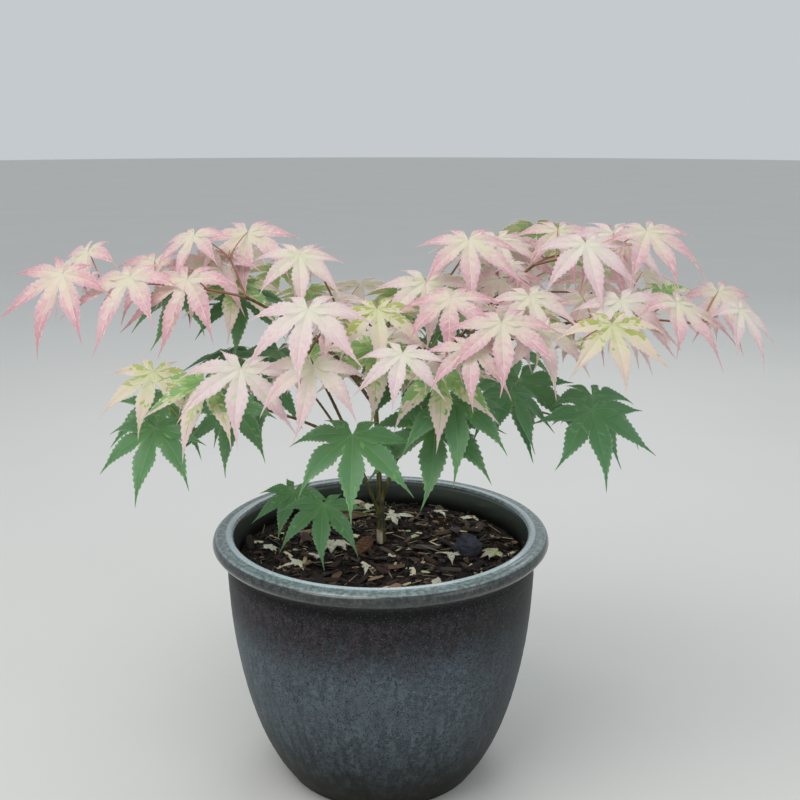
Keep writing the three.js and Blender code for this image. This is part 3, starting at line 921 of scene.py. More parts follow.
def skin_limbs():
    trunk = Heap()
    trunk.add(*limb_skin(curves["trunk"], trunk_radius, sides=36, step=0.7, seed=0, swelling=0.1))
    settle(trunk.piece("trunk_skin", [trunk_bark]), "bark", "trunk")
    stems = Heap()
    boughs = Heap()
    for i, (name, _, _, _, radii, _) in enumerate(LIMBS):
        shape = limb_skin(curves[name], tapering(*radii), sides=14, step=1.2, seed=10 * i + 3)
        (stems if name.endswith("stem") else boughs).add(*shape)
    stem_names = [row[0] for row in LIMBS if row[0].endswith("stem")]
    bough_names = [row[0] for row in LIMBS if row[0].startswith("bough")]
    settle(stems.piece("stem_skin", [stem_bark]), "bark", *stem_names)
    settle(boughs.piece("bough_skin", [bough_bark]), "bark", *bough_names)


skin_limbs()

# %% [markdown]
# ## One leaf
#
# The leaf of this maple has seven lobes, each a long lance with a saw edge and a drawn-out tip.
# A cut-out with an alpha mask would need an image, and it would have no edge. So one pattern is
# laid out once: seven strips of faces whose rows run forward from the midrib to the margin, as
# the side veins do, and every other row ends in a tooth. Each leaf then bends that pattern to its
# own size, sag and fold. The sheet is closed underneath, thin at its edge, so it is a real solid.

# %% Lay out the pattern of a leaf
# Each lobe: its angle from the middle one, in degrees, its reach and half its width, as shares
# of the leaf's length. The three on the left follow from the three on the right.
LOBES = [(-128, 0.36, 0.06), (-84, 0.7, 0.1), (-42, 0.93, 0.12), (0, 1, 0.13)]
LOBES += [(-angle, reach, half) for angle, reach, half in LOBES[2::-1]]


class Pattern:
    """The faces of a leaf, and where each of its points lies on its lobes."""

    def __init__(self, inner, teeth, columns):
        self.inner = inner
        self.rows = inner + 2 * teeth
        self.columns = columns
        width = 2 * columns + 1
        ids = np.full((len(LOBES), self.rows + 1, width), -1)
        picks = []
        for lobe in range(len(LOBES)):
            for row in range(self.rows + 1):
                for column in range(width):
                    if row == 0 and picks:
                        ids[lobe, row, column] = 0
                    elif lobe > 0 and column == 0 and 0 < row <= inner:
                        ids[lobe, row, column] = ids[lobe - 1, row, -1]
                    elif row == self.rows and column > 0:
                        ids[lobe, row, column] = ids[lobe, row, 0]
                    else:
                        ids[lobe, row, column] = len(picks)
                        picks.append((lobe * (self.rows + 1) + row) * width + column)
        self.picks = np.array(picks)
        self.lay_faces(*self.upper_faces(ids))

    def upper_faces(self, ids):
        """The faces of the upper side, and each one's lobe, place along it, offset and rib."""
        faces = []
        facts = []
        for lobe in range(len(LOBES)):
            for row in range(self.rows):
                for column in range(2 * self.columns):
                    ring = [ids[lobe, row, column], ids[lobe, row + 1, column]]
                    ring += [ids[lobe, row + 1, column + 1], ids[lobe, row, column + 1]]
                    ring = list(dict.fromkeys(ring))
                    if len(ring) > 2:
                        faces.append(ring)
                        off = (column + 0.5 - self.columns) / self.columns
                        facts.append((lobe, (row + 0.5) / self.rows, off, column in self.ribs()))
        return faces, facts

    def lay_faces(self, faces, facts):
        """Closes the sheet with an under side that shares the points of its margin."""
        edges = {(a, b) for ring in faces for a, b in zip(ring, ring[1:] + ring[:1])}
        margin = {a for a, b in edges if (b, a) not in edges}
        inside = [i for i in range(len(self.picks)) if i not in margin]
        below = np.arange(len(self.picks))
        below[inside] = len(self.picks) + np.arange(len(inside))
        under = [[int(below[i]) for i in reversed(ring)] for ring in faces]
        self.inside = np.array(inside)
        self.faces = packed(faces + under)
        lobe, self.share, off, self.rib = np.array(facts + facts).T
        self.lobe = lobe.astype(int)
        self.off = abs(off)
        angles = np.array([angle for angle, _, _ in LOBES])
        self.outer = off * angles[self.lobe] > 0
        self.under = np.arange(2 * len(faces)) >= len(faces)

    def ribs(self):
        return (self.columns - 1, self.columns)


fine_pattern = Pattern(3, 11, 4)
small_pattern = Pattern(2, 6, 3)
print("faces of a leaf:", len(fine_pattern.share), "of a small one:", len(small_pattern.share))


# %% [markdown]
# The outline of a lobe could be drawn by hand, but then every leaf would be the same. Here it is
# a formula. The half width swells to a shoulder and falls away to a drawn-out tail, teeth stand
# out from it, and the whole lobe bends aside and sags. Each lobe gets its own numbers for that.

# %% Draw the outline of a lobe
# Each form of leaf: how broad its lobes are, and how near to the heart its notches reach
FORMS = {"pale": (0.95, 0.2), "green": (1.1, 0.27), "scrap": (1.7, 0.5)}
SHOULDER = 0.43
TAIL = 0.15
TIP_START = 0.55


def lobe_width(u, start, first, half):
    """Half the width of a lobe at u: it swells to its shoulder, then narrows to a drawn-out tail."""
    shoulder = max(start, SHOULDER)
    broadest = max(first, half)
    swell = np.sin(math.pi / 2 * (u - start) / max(shoulder - start, 0.01))
    rise = first + (broadest - first) * swell
    beyond = np.clip((u - shoulder) / (1 - shoulder), 0, 1)
    lance = np.clip(1 - (beyond / 0.72) ** 1.3, 0, 1) ** 1.25
    fall = broadest * ((1 - TAIL) * lance + TAIL * (1 - beyond**4))
    return np.where(u < shoulder, rise, fall)


def hook(u):
    """How far along its final curl a lobe is at u, from 0 to 1."""
    return (np.clip(u - TIP_START, 0, 1) / (1 - TIP_START)) ** 2


print("a pale leaf's middle lobe is", round(2 * LOBES[3][2] * FORMS["pale"][0], 2), "of its length wide")

# %% Shape one lobe
FOLD = 0.18
SLANT = 0.75
TOOTH = 0.023
TOOTH_END = 0.8
EDGE_WAVE = 0.012
TIP_HOOK = 0.07


class Lobe:
    """One lobe of one leaf. Places along it, called u, run from 0 at the heart to 1 at the tip."""

    def __init__(self, index, pose):
        angle_off, self.share, half = LOBES[index]
        breadth, _ = FORMS[pose["form"]]
        shape = pose["shapes"][index]
        angle = math.radians(angle_off) + shape["turn"]
        self.index = index
        self.length = pose["length"]
        self.half = self.length * half * breadth
        self.reach = self.length * self.share * shape["stretch"]
        self.ahead = np.array([math.cos(angle), math.sin(angle)])
        self.left = np.array([-math.sin(angle), math.cos(angle)])
        self.bend = shape["bend"] * self.reach
        self.drop = math.sin(shape["sag"])
        self.wave = shape["wave"]
        self.curl = TIP_HOOK * self.reach * math.sin(6 * self.wave)
        self.dip = TIP_HOOK * self.reach * abs(math.cos(6 * self.wave))

    def aside(self, u):
        """How far the lobe has bent to its left."""
        return self.bend * u * (1 - u) + self.curl * hook(u)

    def sunk(self, u):
        """How far the lobe has sunk below the heart."""
        return self.reach * u**2 * self.drop + self.dip * hook(u)

    def toothed(self, s, width):
        """The width with its saw teeth, and how far each tooth stands out. S runs past the notch."""
        odd = np.arange(len(s)) % 2 == 0
        tooth = TOOTH * self.length * self.share**0.5 * np.clip(1 - s, 0, 1) ** 0.6 * (s < TOOTH_END)
        width = width + 0.6 * tooth * odd - 0.4 * tooth * ~odd
        width[-1] = 0
        return width, tooth * odd

    def edge(self, pattern, side, notch):
        """The points of the edge on one side, and where the veins that end there left the midrib."""
        start = notch[:2].dot(self.ahead) / self.reach
        first = side * notch[:2].dot(self.left)
        rows = pattern.rows - pattern.inner
        s = np.arange(1, rows + 1) / rows
        u = start + (1 - start) * s
        width, tooth = self.toothed(s, lobe_width(u, start, first, self.half))
        out = u + 0.9 * tooth / self.reach
        out[-1] = 1
        flat = np.outer(self.reach * out, self.ahead)
        flat += np.outer(side * width + self.aside(out), self.left)
        gap = notch[2] - (FOLD * first - self.reach * start**2 * self.drop)
        lift = FOLD * width - self.sunk(out) + gap * np.exp(-(out - start) / 0.12)
        wave = self.wave * EDGE_WAVE * self.length * np.sin(9 * out + side + self.index) * (out < 1)
        outer = np.column_stack([flat, lift + wave * np.minimum(1, 4 * (1 - s))])
        inner = np.outer(np.arange(pattern.inner + 1) / pattern.inner, notch)
        veins = np.concatenate([[start - SLANT * first / self.reach], u - SLANT * width / self.reach])
        return np.concatenate([inner, outer]), veins

    def midrib(self, pattern, veins):
        """Where each row crosses the midrib, and the points there."""
        spine = np.maximum.accumulate(np.clip(veins, 0.02, 1))
        spine[-1] = 1
        run = np.concatenate([np.linspace(0, spine[0], pattern.inner + 1)[:-1], spine])
        flat = np.outer(self.reach * run, self.ahead) + np.outer(self.aside(run), self.left)
        return run, np.column_stack([flat, -self.sunk(run)])


print("teeth of a 60 mm leaf stand out", round(60 * TOOTH, 1), "mm")

# %% Fill a lobe between its edges
VEIN_HALF = 0.32
RELIEF = 0.0055


def lobe_grid(pattern, index, pose, notches):
    """The points of one lobe: rows from the heart to the tip, columns from right to left."""
    lobe = Lobe(index, pose)
    right, right_veins = lobe.edge(pattern, -1, notches[index])
    left, left_veins = lobe.edge(pattern, 1, notches[index + 1])
    run, middle = lobe.midrib(pattern, (right_veins + left_veins) / 2)
    grid = np.zeros((pattern.rows + 1, 2 * pattern.columns + 1, 3))
    ridge = np.where(np.arange(pattern.rows + 1) % 2 == (pattern.inner + 1) % 2, -1, 1)
    for column in range(2 * pattern.columns + 1):
        off = abs(column - pattern.columns)
        edge = right if column < pattern.columns else left
        spread = np.linalg.norm(edge - middle, axis=1) + 1e-9
        share = off / pattern.columns
        if off == 1:
            share = np.minimum(VEIN_HALF / spread, 0.25)
        grid[:, column] = middle + (edge - middle) * np.reshape(share, (-1, 1))
        relief = RELIEF * lobe.length * np.sin(math.pi * np.asarray(share)) * (1 + 0.35 * ridge)
        grid[:, column, 2] += relief * np.minimum(1, 6 * run * (1 - run))
    return grid


print("points of a lobe:", fine_pattern.rows + 1, "rows of", 2 * fine_pattern.columns + 1)

# %% Bend the pattern into one leaf
HEEL_ANGLE = 156
HEEL_REACH = 0.1
SHORT_LOBE = 0.5
OUTER_NOTCH = 0.66
NOTCH_RISE = 0.1
BLADE_THICKNESS = 0.32


def leaf_frame(pose):
    """Which way the leaf's length, left and upper side point, as the columns of a matrix."""
    facing, droop, roll = pose["facing"], pose["droop"], pose["roll"]
    ahead = polar(1, facing, -droop)
    level = np.array([-math.sin(facing), math.cos(facing), 0])
    left = level * math.cos(roll) + np.cross(ahead, level) * math.sin(roll)
    return np.column_stack([ahead, left, np.cross(ahead, left)])


def sinus(length, depth, angle, outer=1.0):
    """The notch between two lobes, or the heel's end beside the stalk."""
    return polar(length * depth * outer, angle, NOTCH_RISE)


def leaf_points(pattern, pose):
    """The points of one leaf, in the plant's frame."""
    length = pose["length"]
    _, depth = FORMS[pose["form"]]
    notches = [sinus(length, HEEL_REACH, -math.radians(HEEL_ANGLE))]
    for (first, reach, _), (second, further, _) in zip(LOBES, LOBES[1:]):
        outer = OUTER_NOTCH if min(reach, further) < SHORT_LOBE else 1.0
        notches.append(sinus(length, depth, math.radians((first + second) / 2), outer))
    notches.append(sinus(length, HEEL_REACH, math.radians(HEEL_ANGLE)))
    grids = [lobe_grid(pattern, i, pose, notches) for i in range(len(LOBES))]
    top = np.concatenate(grids).reshape(-1, 3)[pattern.picks]
    below = top[pattern.inside] - (0, 0, BLADE_THICKNESS)
    points = np.concatenate([top, below])
    return points @ leaf_frame(pose).T + pose["base"]


print("points of a leaf:", len(fine_pattern.picks) + len(fine_pattern.inside))

# %% [markdown]
# ## The tints of the leaves
#
# The young leaves are pink and cream with a little green left near the veins, and the older ones
# below are plain green. A picture of a leaf could carry this, but on a crown of joined meshes it
# would land anywhere. So each tint is a run of plain colours from heart to tip, and every face
# takes the colour of its place on the lobe, with a little chance in it.

# %% Mix the tints
# Each tint: its colours from heart to tip, its flecks, their share, whether they gather near the
# midribs (0) or along the outer side of the side lobes (1), and the colour of its veins
TINTS = {
    "rosy": (["d6cdb4", "dcc8b6", "dab6b4", "cf9ca5", "c58998", "dcc5b2"], "c8c6a4", 0.02, 0, "e9dac6"),
    "blush": (["d2ceb0", "daccb6", "dcc1b9", "d6aab1", "cc95a3", "dec9b6"], "c2c79e", 0.025, 0, "eadfca"),
    "cream": (["cfcdac", "dad0ba", "e0cbc0", "ddbebc", "d7afb6", "e2cebe"], "bcc698", 0.045, 0, "e9e0c8"),
    "ivory": (["d5d3b8", "dfd3c4", "e2cdc6", "dfc1c3", "dab1b9", "e4d1c4"], "cbd0b0", 0.03, 0, "ece5d3"),
    "limed": (["c0c698", "cecaa2", "d8ccb0", "dfc8b4", "dfbfb2", "e2ccb8"], "a9b263", 0.75, 1, "dcd6b4"),
    "parted": (["6a9a56", "7ea65c", "a8b878", "d6c8b0", "dfc0ba", "dbb0b4"], "76a05a", 0.7, 1, "bcc894"),
    "meadow": (["528447", "4f8349", "4c804b", "508250", "598b57", "749d69"], "6c9b58", 0.07, 0, "7ca670"),
    "forest": (["4a8149", "477e48", "447b48", "477e4c", "518455", "699866"], "608f58", 0.05, 0, "74a070"),
    "straw": (["dcd8b0", "ebe6c6", "f0ebd2", "ece4c4", "dfd2ac", "c4b08a"], "c6bc8a", 0.1, 0, "f2edd8"),
}
UNDERSIDE = {"meadow": "84aa80", "forest": "7aa27a", "parted": "a9bd90", "limed": "bcc59c"}
PALE_UNDERSIDE = "f0e2dc"
RAMP_STEPS = 7
VEIN_CONTRAST = 0.5
GREEN_GLOW = 0.3
PALE_GLOW = 0.58
LEAF_ROUGHNESS = 0.5
UNDERSIDE_ROUGHNESS = 0.62
UNDERSIDE_SHARE = 0.55


def hex_mix(first, second, share):
    """A colour part of the way between two."""
    pairs = [(int(first[i : i + 2], 16), int(second[i : i + 2], 16)) for i in (0, 2, 4)]
    return "".join(f"{round(a + (b - a) * share):02x}" for a, b in pairs)


def tint_materials(name):
    """The plain materials of a tint: its run of colours, its flecks, its veins, its underside."""
    colours, fleck, _, _, vein = TINTS[name]
    run = []
    for place in np.linspace(0, len(colours) - 1, RAMP_STEPS):
        i = min(int(place), len(colours) - 2)
        run.append(hex_mix(colours[i], colours[i + 1], place - i))
    under = UNDERSIDE.get(name, PALE_UNDERSIDE)
    below = [hex_mix(run[i], under, UNDERSIDE_SHARE) for i in (1, 3, 5)]
    glow = GREEN_GLOW if name in ("meadow", "forest") else PALE_GLOW
    made = [plain(f"{name}_leaf_{i + 1}", code, LEAF_ROUGHNESS, glow) for i, code in enumerate(run)]
    made.append(plain(f"{name}_fleck", fleck, LEAF_ROUGHNESS, glow))
    made.append(plain(f"{name}_vein", hex_mix(run[1], vein, VEIN_CONTRAST), LEAF_ROUGHNESS, glow))
    for i, code in enumerate(below):
        made.append(plain(f"{name}_underside_{i + 1}", code, UNDERSIDE_ROUGHNESS, glow))
    return made


tints = {name: tint_materials(name) for name in TINTS}
print("leaf colours:", sum(len(m) for m in tints.values()))

# %% Deal out the colours of one leaf
FLECK, VEIN, UNDER = RAMP_STEPS, RAMP_STEPS + 1, RAMP_STEPS + 2
VEIN_END = 0.72


def leaf_paints(pattern, tint, random):
    """The number of each face's colour among its tint's own."""
    _, _, fleck_share, gather, _ = TINTS[tint]
    chance = random.random(len(pattern.share))
    lean = random.normal(0, 0.5, len(LOBES))[pattern.lobe]
    blush = 0.3 * pattern.off * (pattern.share < 0.8)
    level = (pattern.share + blush - 0.1) * (RAMP_STEPS - 1) + 0.35 * lean + 1.3 * (chance - 0.5)
    paints = np.clip(np.round(level), 0, RAMP_STEPS - 1).astype(int)
    patch = random.random(len(LOBES))[pattern.lobe]
    if gather > 0.5:
        edge = 0.3 + 0.22 * np.sin(21 * pattern.share + 40 * patch)
        sector = pattern.outer * (pattern.off > edge) * (pattern.share < 0.35 + 0.6 * patch)
        flecked = chance < fleck_share * (0.04 + 1.2 * sector)
    else:
        inner = np.clip(1.5 - 1.7 * pattern.share, 0, 1) * np.clip(1.1 - pattern.off, 0, 1)
        waves = np.sin(19 * pattern.share + 40 * patch) * np.sin(7 * pattern.off + 60 * patch)
        streak = waves * 0.5 + 0.5
        flecked = random.random(len(pattern.share)) < fleck_share * inner * 6 * patch * streak**2
    paints[flecked] = FLECK
    paints[(pattern.rib > 0) & (pattern.share < VEIN_END)] = VEIN
    thirds = np.clip((pattern.share * 3).astype(int), 0, 2)
    return np.where(pattern.under, UNDER + thirds, paints)


test_paints = leaf_paints(fine_pattern, "limed", np.random.default_rng(1))
print("flecked faces of a limed leaf:", int((test_paints == FLECK).sum()))

# %% [markdown]
# ## The sprays
#
# Each mass of foliage is a spray: a stem that carries pairs of leaves, the way this plant grows.
# The packed solid was grown by a rule with a seed, and the same rule is written again here. A
# leaf there may have needed several tries to find room. The try that was kept is the one whose
# middle lobe ends at a corner of the solid, so the leaf here is the same leaf, only finer. Then
# the spray goes on where the solid stops: buds, short shoots and small young leaves.

# %% List the sprays
# Each spray: its name, limb, tip, pairs of leaves, side twigs, seed, size, form and tints
SPRAYS = [
    ("foliage_left_tip", "bough_left", (-242, 16, 448), 3, 0, 387, 1.08, "pale", "blush rosy"),
    ("foliage_left_upper", "bough_left", (-132, 30, 468), 1, 0, 641, 1, "pale", "blush"),
    ("foliage_left_inner", "leader_stem", (-52, 20, 456), 2, 1, 101, 0.92, "pale", "blush cream"),
    ("foliage_centre_top", "bough_centre", (70, 6, 470), 1, 0, 1093, 0.98, "pale", "blush cream"),
    ("foliage_centre", "bough_centre", (80, -62, 436), 2, 1, 1093, 1, "pale", "rosy cream"),
    ("foliage_right_high", "bough_right_high", (195, 6, 474), 2, 0, 486, 1.05, "pale", "blush ivory"),
    ("foliage_right_tip", "bough_right_low", (268, -30, 420), 3, 0, 648, 1.05, "pale", "ivory blush"),
    ("foliage_right_front", "bough_right_low", (152, -92, 414), 2, 0, 434, 1, "pale", "cream limed"),
    ("foliage_front_right", "bough_front_right", (44, -108, 402), 1, 1, 549, 0.95, "pale", "ivory blush"),
    ("foliage_front_centre", "bough_front_right", (30, -72, 384), 1, 0, 473, 1, "green", "parted"),
    ("foliage_low_right", "bough_low_right", (155, -34, 340), 2, 0, 970, 1.05, "green", "forest"),
    ("foliage_low_front_right", "bough_low_right", (58, -60, 360), 1, 0, 1164, 1.08, "green", "meadow"),
    ("foliage_front_left", "bough_front_left", (-68, -98, 388), 1, 0, 635, 1, "pale", "ivory cream"),
    ("foliage_front_upper", "bough_front_left", (-42, -82, 427), 1, 0, 826, 1.05, "pale", "ivory limed"),
    ("foliage_low_left", "bough_low_left", (-165, -30, 326), 2, 0, 873, 1.02, "green", "meadow"),
    ("foliage_low_front_left", "bough_low_left", (-148, -66, 368), 1, 0, 314, 1, "pale", "limed parted"),
    ("foliage_low_front", "bough_low_front", (4, -78, 332), 1, 0, 2092, 1.12, "green", "meadow"),
    ("foliage_over_soil", "trunk", (-46, -18, 252), 1, 0, 549, 0.9, "green", "meadow"),
    ("foliage_middle", "leader_stem", (20, 75, 395), 1, 1, 40, 1, "pale", "parted limed"),
    ("foliage_back_left", "bough_back_left", (-150, 140, 435), 2, 1, 13, 1, "pale", "blush parted"),
    ("foliage_far_left", "bough_back_left", (-165, 80, 418), 2, 0, 14, 0.95, "green", "meadow"),
    ("foliage_back", "bough_back", (-40, 190, 395), 2, 1, 15, 1, "pale", "cream parted"),
    ("foliage_back_inner", "bough_back", (60, 160, 408), 2, 0, 16, 0.95, "pale", "parted limed"),
    ("foliage_right_upper", "bough_right_high", (165, 62, 466), 2, 0, 21, 1, "pale", "blush parted"),
    ("foliage_back_right", "bough_right_back", (160, 145, 435), 2, 1, 24, 1, "pale", "parted cream"),
    ("foliage_far_right", "bough_right_back", (230, 82, 425), 2, 0, 25, 0.95, "pale", "parted blush"),
    ("foliage_low_back_right", "bough_low_back", (90, 135, 350), 2, 1, 30, 1, "green", "forest"),
    ("foliage_low_back", "bough_low_back", (5, 145, 350), 2, 0, 31, 1, "green", "meadow"),
    ("foliage_low_back_left", "bough_low_back_left", (-112, 118, 345), 2, 1, 37, 1, "green", "forest"),
]
print("sprays:", len(SPRAYS), "with", sum(2 * (row[3] + row[4]) for row in SPRAYS), "places for a leaf")

# %% [markdown]
# A maple carries its leaves in pairs, one on each side of a joint. A spray is walked from its tip
# inwards, joint by joint, and each leaf gets a pose: where it sits, which way it faces, how far
# it droops and how its lobes stray. The draws must come in the order in which the solid's came.

# %% Find the joints of a spray
INTERNODE = 46
TWIG_ARCH = 0.08
SPLITS = [58, 74, 80]  # degrees between a spray and the stalks of its first, second and third pair


def sequence(seed):
    """A repeatable run of numbers from 0 to 1, each worked out from the one before it."""
    state = seed

    def following():
        nonlocal state
        state = state * 16807 % 2147483647
        return state / 2147483647

    following()
    following()
    return following


def spray_nodes(curve, pairs, twigs, seed):
    """Where the pairs of leaves stand on a spray, and the curves of its side twigs."""
    random = sequence(seed * 77 + 3)
    nodes = []
    lines = []
    for key in range(pairs):
        along = max(0.1, 1 - key * INTERNODE / curve.span)
        at = curve.at(along)
        ahead = at - curve.at(along - 0.05)
        nodes.append((key, at, math.atan2(ahead[1], ahead[0]), SPLITS[key]))
    for k in range(twigs):
        side = -1 if random() < 0.5 else 1
        foot = curve.at(0.3 + 0.15 * random())
        heading = nodes[0][2] + math.radians(side * (62 + 24 * random()))
        at = foot + polar(38 + 12 * random(), heading, math.radians(20))
        lines.append(Curve(foot, at, TWIG_ARCH))
        nodes.append((4 + k, at, heading, SPLITS[0]))
    return nodes, lines


chance = sequence(5)
print("three draws of the rule:", [round(chance(), 3) for _ in range(3)])

# %% Pose a leaf by the rule
STALK = 40
STALK_LIFT = 25
DROOP = 42
BACK_HALF = 75
LEAF_LENGTH = 64
OUTWARD_BEND = 0.16


def outward(base):
    """The heading, in degrees, of a leaf that faces away from the middle of the plant."""
    return 270 + 0.12 * base[0] if base[1] < BACK_HALF else 90 - 0.2 * base[0]


def leaf_pose(seed, size, form, node, side, attempt):
    """One try at the pose of a leaf, by the rule that grew the packed solid."""
    key, at, heading, split = node
    random = sequence(seed * 2620 + key * 262 + (side + 1) * 65 + attempt * 977 + 7)

    def swing(degrees):
        return math.radians((random() - 0.5) * 2 * degrees * (1 + 0.08 * attempt))

    away = heading + math.radians(side * split) + swing(8)
    reach = STALK * size * (0.9 + 0.2 * random())
    base = at + polar(reach, away, math.radians(STALK_LIFT) + swing(8))
    pose = {"node": at, "form": form, "base": base}
    pose["facing"] = math.radians(outward(base)) + swing(12)
    pose["droop"] = math.radians(DROOP) + swing(6)
    pose["roll"] = swing(8)
    pose["length"] = LEAF_LENGTH * size * (0.84 + 0.32 * random())
    pose["shapes"] = []
    for _ in LOBES:
        shape = {"turn": math.radians(6 * (random() - 0.5)), "stretch": 0.94 + 0.12 * random()}
        shape["sag"] = math.radians(3 + 10 * random())
        pose["shapes"].append(shape)
    for shape, (angle, _, _) in zip(pose["shapes"], LOBES):
        shape["bend"] = OUTWARD_BEND * np.sign(angle) + 0.2 * (random() - 0.5)
        shape["wave"] = random()
    return pose


first_try = leaf_pose(387, 1.08, "pale", (0, curves["bough_left"].tip, math.pi, SPLITS[0]), 1, 0)
print("a first try is", round(first_try["length"], 1), "mm long")

# %% Find the pose that was kept
LEAF_TRIES = 40
# How near to a corner of the solid the middle lobe has to end, in millimetres
CLOSE = 0.2


def middle_tip(pose):
    """Where the middle lobe of a leaf ends, before its hook."""
    shape = pose["shapes"][3]
    reach = pose["length"] * shape["stretch"]
    angle = shape["turn"]
    sag = shape["sag"]
    tip = np.array([reach * math.cos(angle), reach * math.sin(angle), -reach * math.sin(sag)])
    return leaf_frame(pose) @ tip + pose["base"]


def kept_pose(corners, seed, size, form, node, side):
    """The try that the packed solid kept, or None where the leaf found no room."""
    for attempt in range(LEAF_TRIES):
        pose = leaf_pose(seed, size, form, node, side, attempt)
        if np.linalg.norm(corners - middle_tip(pose), axis=1).min() < CLOSE:
            return pose
    return None


def corners_of(node):
    """The corners of a packed solid, in millimetres."""
    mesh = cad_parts[node].data
    places = np.zeros(3 * len(mesh.vertices))
    mesh.vertices.foreach_get("co", places)
    return places.reshape(-1, 3) / MM


print("corners of the left tip's solid:", len(corners_of("foliage_left_tip")))

# %% [markdown]
# The wood between the leaves is thin, but it makes a crown look grown and not scattered. Every
# leaf hangs on a stalk from its joint, with buds beside it. Blender's hair could stand in for the
# stalks, but it has no swellings and no ends of its own, so short tubes are drawn instead.

# %% Draw the stalks, the twigs and the buds
TWIG_COLOURS = {
    "olive": "76693a",
    "red": "8a5a42",
    "stalk": "b07a62",
    "bud": "9a4a3a",
    "green": "8d8a4a",
}
OLIVE, RED, STALK_PAINT, BUD, GREEN_PAINT = range(len(TWIG_COLOURS))
STALK_ROWS = 10
STALK_SIDES = 7
TWIG_SIDES = 8
BUD_ROWS = 7
BUD_SIDES = 7
RING_SWELLING = 0.22
RING_LENGTH = 1.4
twig_paints = [plain(f"twig_{name}", code, 0.5) for name, code in TWIG_COLOURS.items()]


def add_stalk(heap, foot, end, radius, paint, arch=0.1):
    """A leaf's stalk: thin, arched, and thickened where it leaves the twig."""
    curve = Curve(foot, end, arch)
    share = np.linspace(0, 1, STALK_ROWS)
    radii = radius * (0.75 + 0.9 * np.exp(-share * 14) - 0.4 * share**5)
    heap.add(*tube(curve.line(STALK_ROWS), radii, STALK_SIDES), paint)


def add_twig(heap, curve, thick, thin, paint):
    """A twig with a swollen ring at each joint."""
    rows = max(8, int(curve.span / 2))
    share = np.linspace(0, 1, rows)
    run = share * curve.span
    rings = RING_SWELLING * np.exp(-((((curve.span - run) % INTERNODE) / RING_LENGTH) ** 2))
    radii = (thick + (thin - thick) * share) * (1 + rings)
    heap.add(*tube(curve.line(rows), radii, TWIG_SIDES), paint)


def add_bud(heap, at, ahead, length, paint):
    """A pointed bud."""
    share = np.linspace(0, 1, BUD_ROWS)
    line = at + np.outer(share * length, ahead)
    radii = length * 0.27 * np.sin(math.pi * share**0.7) + 0.05
    heap.add(*tube(line, radii, BUD_SIDES), paint)


print("colours of the wood:", len(twig_paints))


# %% Pose the young leaves
def young_pose(at, heading, length, random, form):
    """The pose of a small young leaf beside a bud, which hangs more than a grown one."""
    base = at + polar(length * 0.55, heading, math.radians(random.uniform(15, 45)))
    pose = {"node": at, "form": form, "base": base, "length": length}
    pose["facing"] = math.radians(outward(base) + random.uniform(-40, 40))
    pose["droop"] = math.radians(random.uniform(30, 62))
    pose["roll"] = math.radians(random.uniform(-22, 22))
    pose["shapes"] = []
    for _ in LOBES:
        shape = {"turn": random.uniform(-0.05, 0.05), "stretch": random.uniform(0.92, 1.06)}
        shape["sag"] = random.uniform(0.1, 0.4)
        shape["bend"] = random.uniform(-0.1, 0.1)
        shape["wave"] = random.random()
        pose["shapes"].append(shape)
    return pose


example = young_pose(np.zeros(3), 0, 20, np.random.default_rng(1), "pale")
print("a young leaf hangs by", round(math.degrees(example["droop"])), "degrees")

# %% Hold a spray together
STALK_RADIUS = 0.8
YOUNG_STALK_RADIUS = 0.45
YOUNG_LENGTHS = (15, 26)
END_BUD = 4.5
SIDE_BUD = 2.6
TWIG_ENDS = (0, 4, 5)  # the joints at the end of a spray and at the ends of its side twigs


class Spray:
    """One spray as it grows: its wood, its leaves, its tints and the chance that it draws on."""

    def __init__(self, name, seed, form, tint_names):
        self.random = np.random.default_rng(seed + len(name))
        self.form = form
        self.tints = tint_names.split()
        self.palette = [material for tint in self.tints for material in tints[tint]]
        self.woods = Heap()
        self.leaves = Heap()

    def add_leaf(self, pattern, pose, tint, radius):
        """A leaf on its stalk, in one of the spray's own tints."""
        first = tint * (len(self.palette) // len(self.tints))
        paints = leaf_paints(pattern, self.tints[tint], self.random) + first
        self.leaves.add(leaf_points(pattern, pose), pattern.faces, paints)
        end = pose["base"] - polar(0.01 * pose["length"], pose["facing"], -pose["droop"])
        stalk_paint = GREEN_PAINT if self.form == "green" else STALK_PAINT
        add_stalk(self.woods, pose["node"], end, radius, stalk_paint)

    def add_shoots(self, key, at, heading):
        """The buds at a joint, and two young leaves beside them where the twig ends."""
        ahead = polar(1, heading, math.radians(25))
        add_bud(self.woods, at, ahead, END_BUD, BUD)
        for side in (1, -1):
            add_bud(self.woods, at, polar(1, heading + side * 0.9, 0.5), SIDE_BUD, BUD)
            if key in TWIG_ENDS:
                length = self.random.uniform(*YOUNG_LENGTHS)
                aside = heading + side * self.random.uniform(0.4, 1.1)
                young = young_pose(at + 3 * ahead, aside, length, self.random, self.form)
                tint = self.random.integers(len(self.tints))
                self.add_leaf(small_pattern, young, tint, YOUNG_STALK_RADIUS)


print("colours of a spray in two tints:", len(Spray("example", 1, "pale", "blush rosy").palette))

# %% Grow the sprays
SPRAY_RADII = (1.15, 0.8)
SPRAY_ARCH = 0.06
TRUNK_SPROUT = 0.6  # how far up the trunk the one spray that grows from it leaves it
SIDE_TWIG_RADII = (0.85, 0.7)


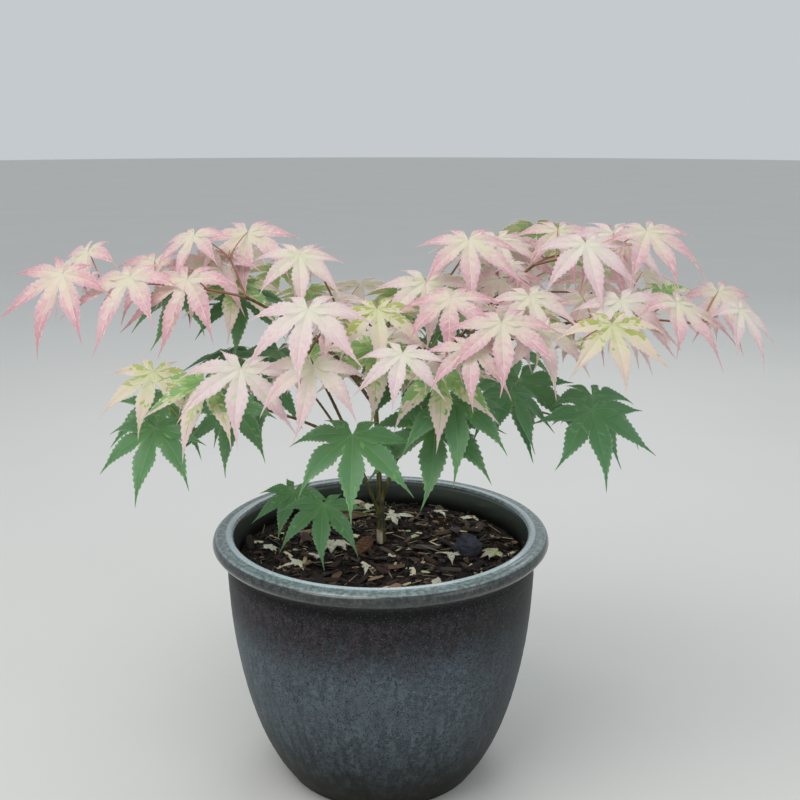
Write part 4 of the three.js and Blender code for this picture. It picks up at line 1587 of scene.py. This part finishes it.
def grow_spray(row):
    """Grows one spray as a piece of twigs and a piece of leaves. Returns its count of leaves."""
    name, limb, tip, pairs, twigs, seed, size, form, tint_names = row
    curve = Curve(curves[limb].at(TRUNK_SPROUT if limb == "trunk" else 1), tip, SPRAY_ARCH)
    nodes, lines = spray_nodes(curve, pairs, twigs, seed)
    spray = Spray(name, seed, form, tint_names)
    add_twig(spray.woods, curve, *SPRAY_RADII, OLIVE if form == "green" else RED)
    for line in lines:
        add_twig(spray.woods, line, *SIDE_TWIG_RADII, RED)
    corners = corners_of(name)
    grown = 0
    for order, node in enumerate(nodes):
        for side in (1, -1):
            pose = kept_pose(corners, seed, size, form, node, side)
            if pose:
                tint = (order + (side > 0)) % len(spray.tints)
                spray.add_leaf(fine_pattern, pose, tint, STALK_RADIUS)
                grown += 1
        spray.add_shoots(*node[:3])
    settle(spray.woods.piece(name.replace("foliage", "twigs"), twig_paints), "bark")
    slot = "green_leaf" if form == "green" else "pale_leaf"
    settle(spray.leaves.piece(name.replace("foliage", "leaves"), spray.palette), slot, name)
    return grown


print("grown leaves:", sum(grow_spray(row) for row in SPRAYS))

# %% [markdown]
# ## Fallen leaves
#
# A few leaves have dropped on the mulch and dried to straw, and most of them are torn. They use
# the same pattern, laid nearly flat and curled at the tips, each at its place on the mulch. A
# lobe that has broken off is drawn back to a stub.

# %% Drop the fallen leaves
FALLEN_LIFT = 4.4
# How far past its notches a broken lobe still reaches, as a share of the leaf's length
STUB = 0.1
# Each fallen leaf: its place on the soil, its heading in degrees, its length, its form, its tint
# and the lobes that it still has, counted from right to left
FALLEN = [
    ((9, 71), 12, 34, "pale", "straw", "0135"),
    ((-42, 4), 270, 23, "scrap", "straw", "0123456"),
    ((64, -24), 264, 23, "pale", "straw", "13"),
    ((47, -98), 90, 33, "pale", "limed", "35"),
    ((103, -20), 200, 18, "scrap", "limed", "0123456"),
    ((-100, -12), 80, 12, "scrap", "straw", "234"),
    ((-72, -44), 215, 20, "pale", "straw", "135"),
    ((-54, -30), 150, 17, "pale", "straw", "36"),
    ((-12, -52), 260, 15, "pale", "straw", "3"),
    ((54, 84), 300, 17, "pale", "straw", "35"),
    ((-62, 62), 120, 25, "pale", "straw", "12345"),
    ((78, 64), 40, 14, "pale", "straw", "23"),
    ((-16, 98), 10, 22, "pale", "straw", "135"),
]


def drop_leaves():
    random = np.random.default_rng(4)
    heap = Heap()
    palette = tints["straw"] + tints["limed"]
    for (x, y), heading, length, form, tint, kept in FALLEN:
        pose = {"form": form, "length": length, "facing": math.radians(heading)}
        pose["base"] = np.array([x, y, SOIL_TOP + FALLEN_LIFT])
        pose["droop"] = random.uniform(-0.02, 0.08)
        pose["roll"] = random.uniform(-0.15, 0.15)
        pose["shapes"] = []
        for lobe, (_, reach, _) in enumerate(LOBES):
            whole = random.uniform(0.85, 1.1)
            stub = (FORMS[form][1] + STUB) / reach
            shape = {"turn": random.uniform(-0.08, 0.08), "wave": 1.6}
            shape["stretch"] = whole if str(lobe) in kept else stub
            shape["sag"] = random.uniform(-0.12, 0.2)
            shape["bend"] = random.uniform(-0.3, 0.3)
            pose["shapes"].append(shape)
        first = 0 if tint == "straw" else len(tints["straw"])
        paints = leaf_paints(small_pattern, tint, random) + first
        heap.add(leaf_points(small_pattern, pose), small_pattern.faces, paints)
    settle(heap.piece("fallen_leaves", palette), "pale_leaf")


drop_leaves()

# %% [markdown]
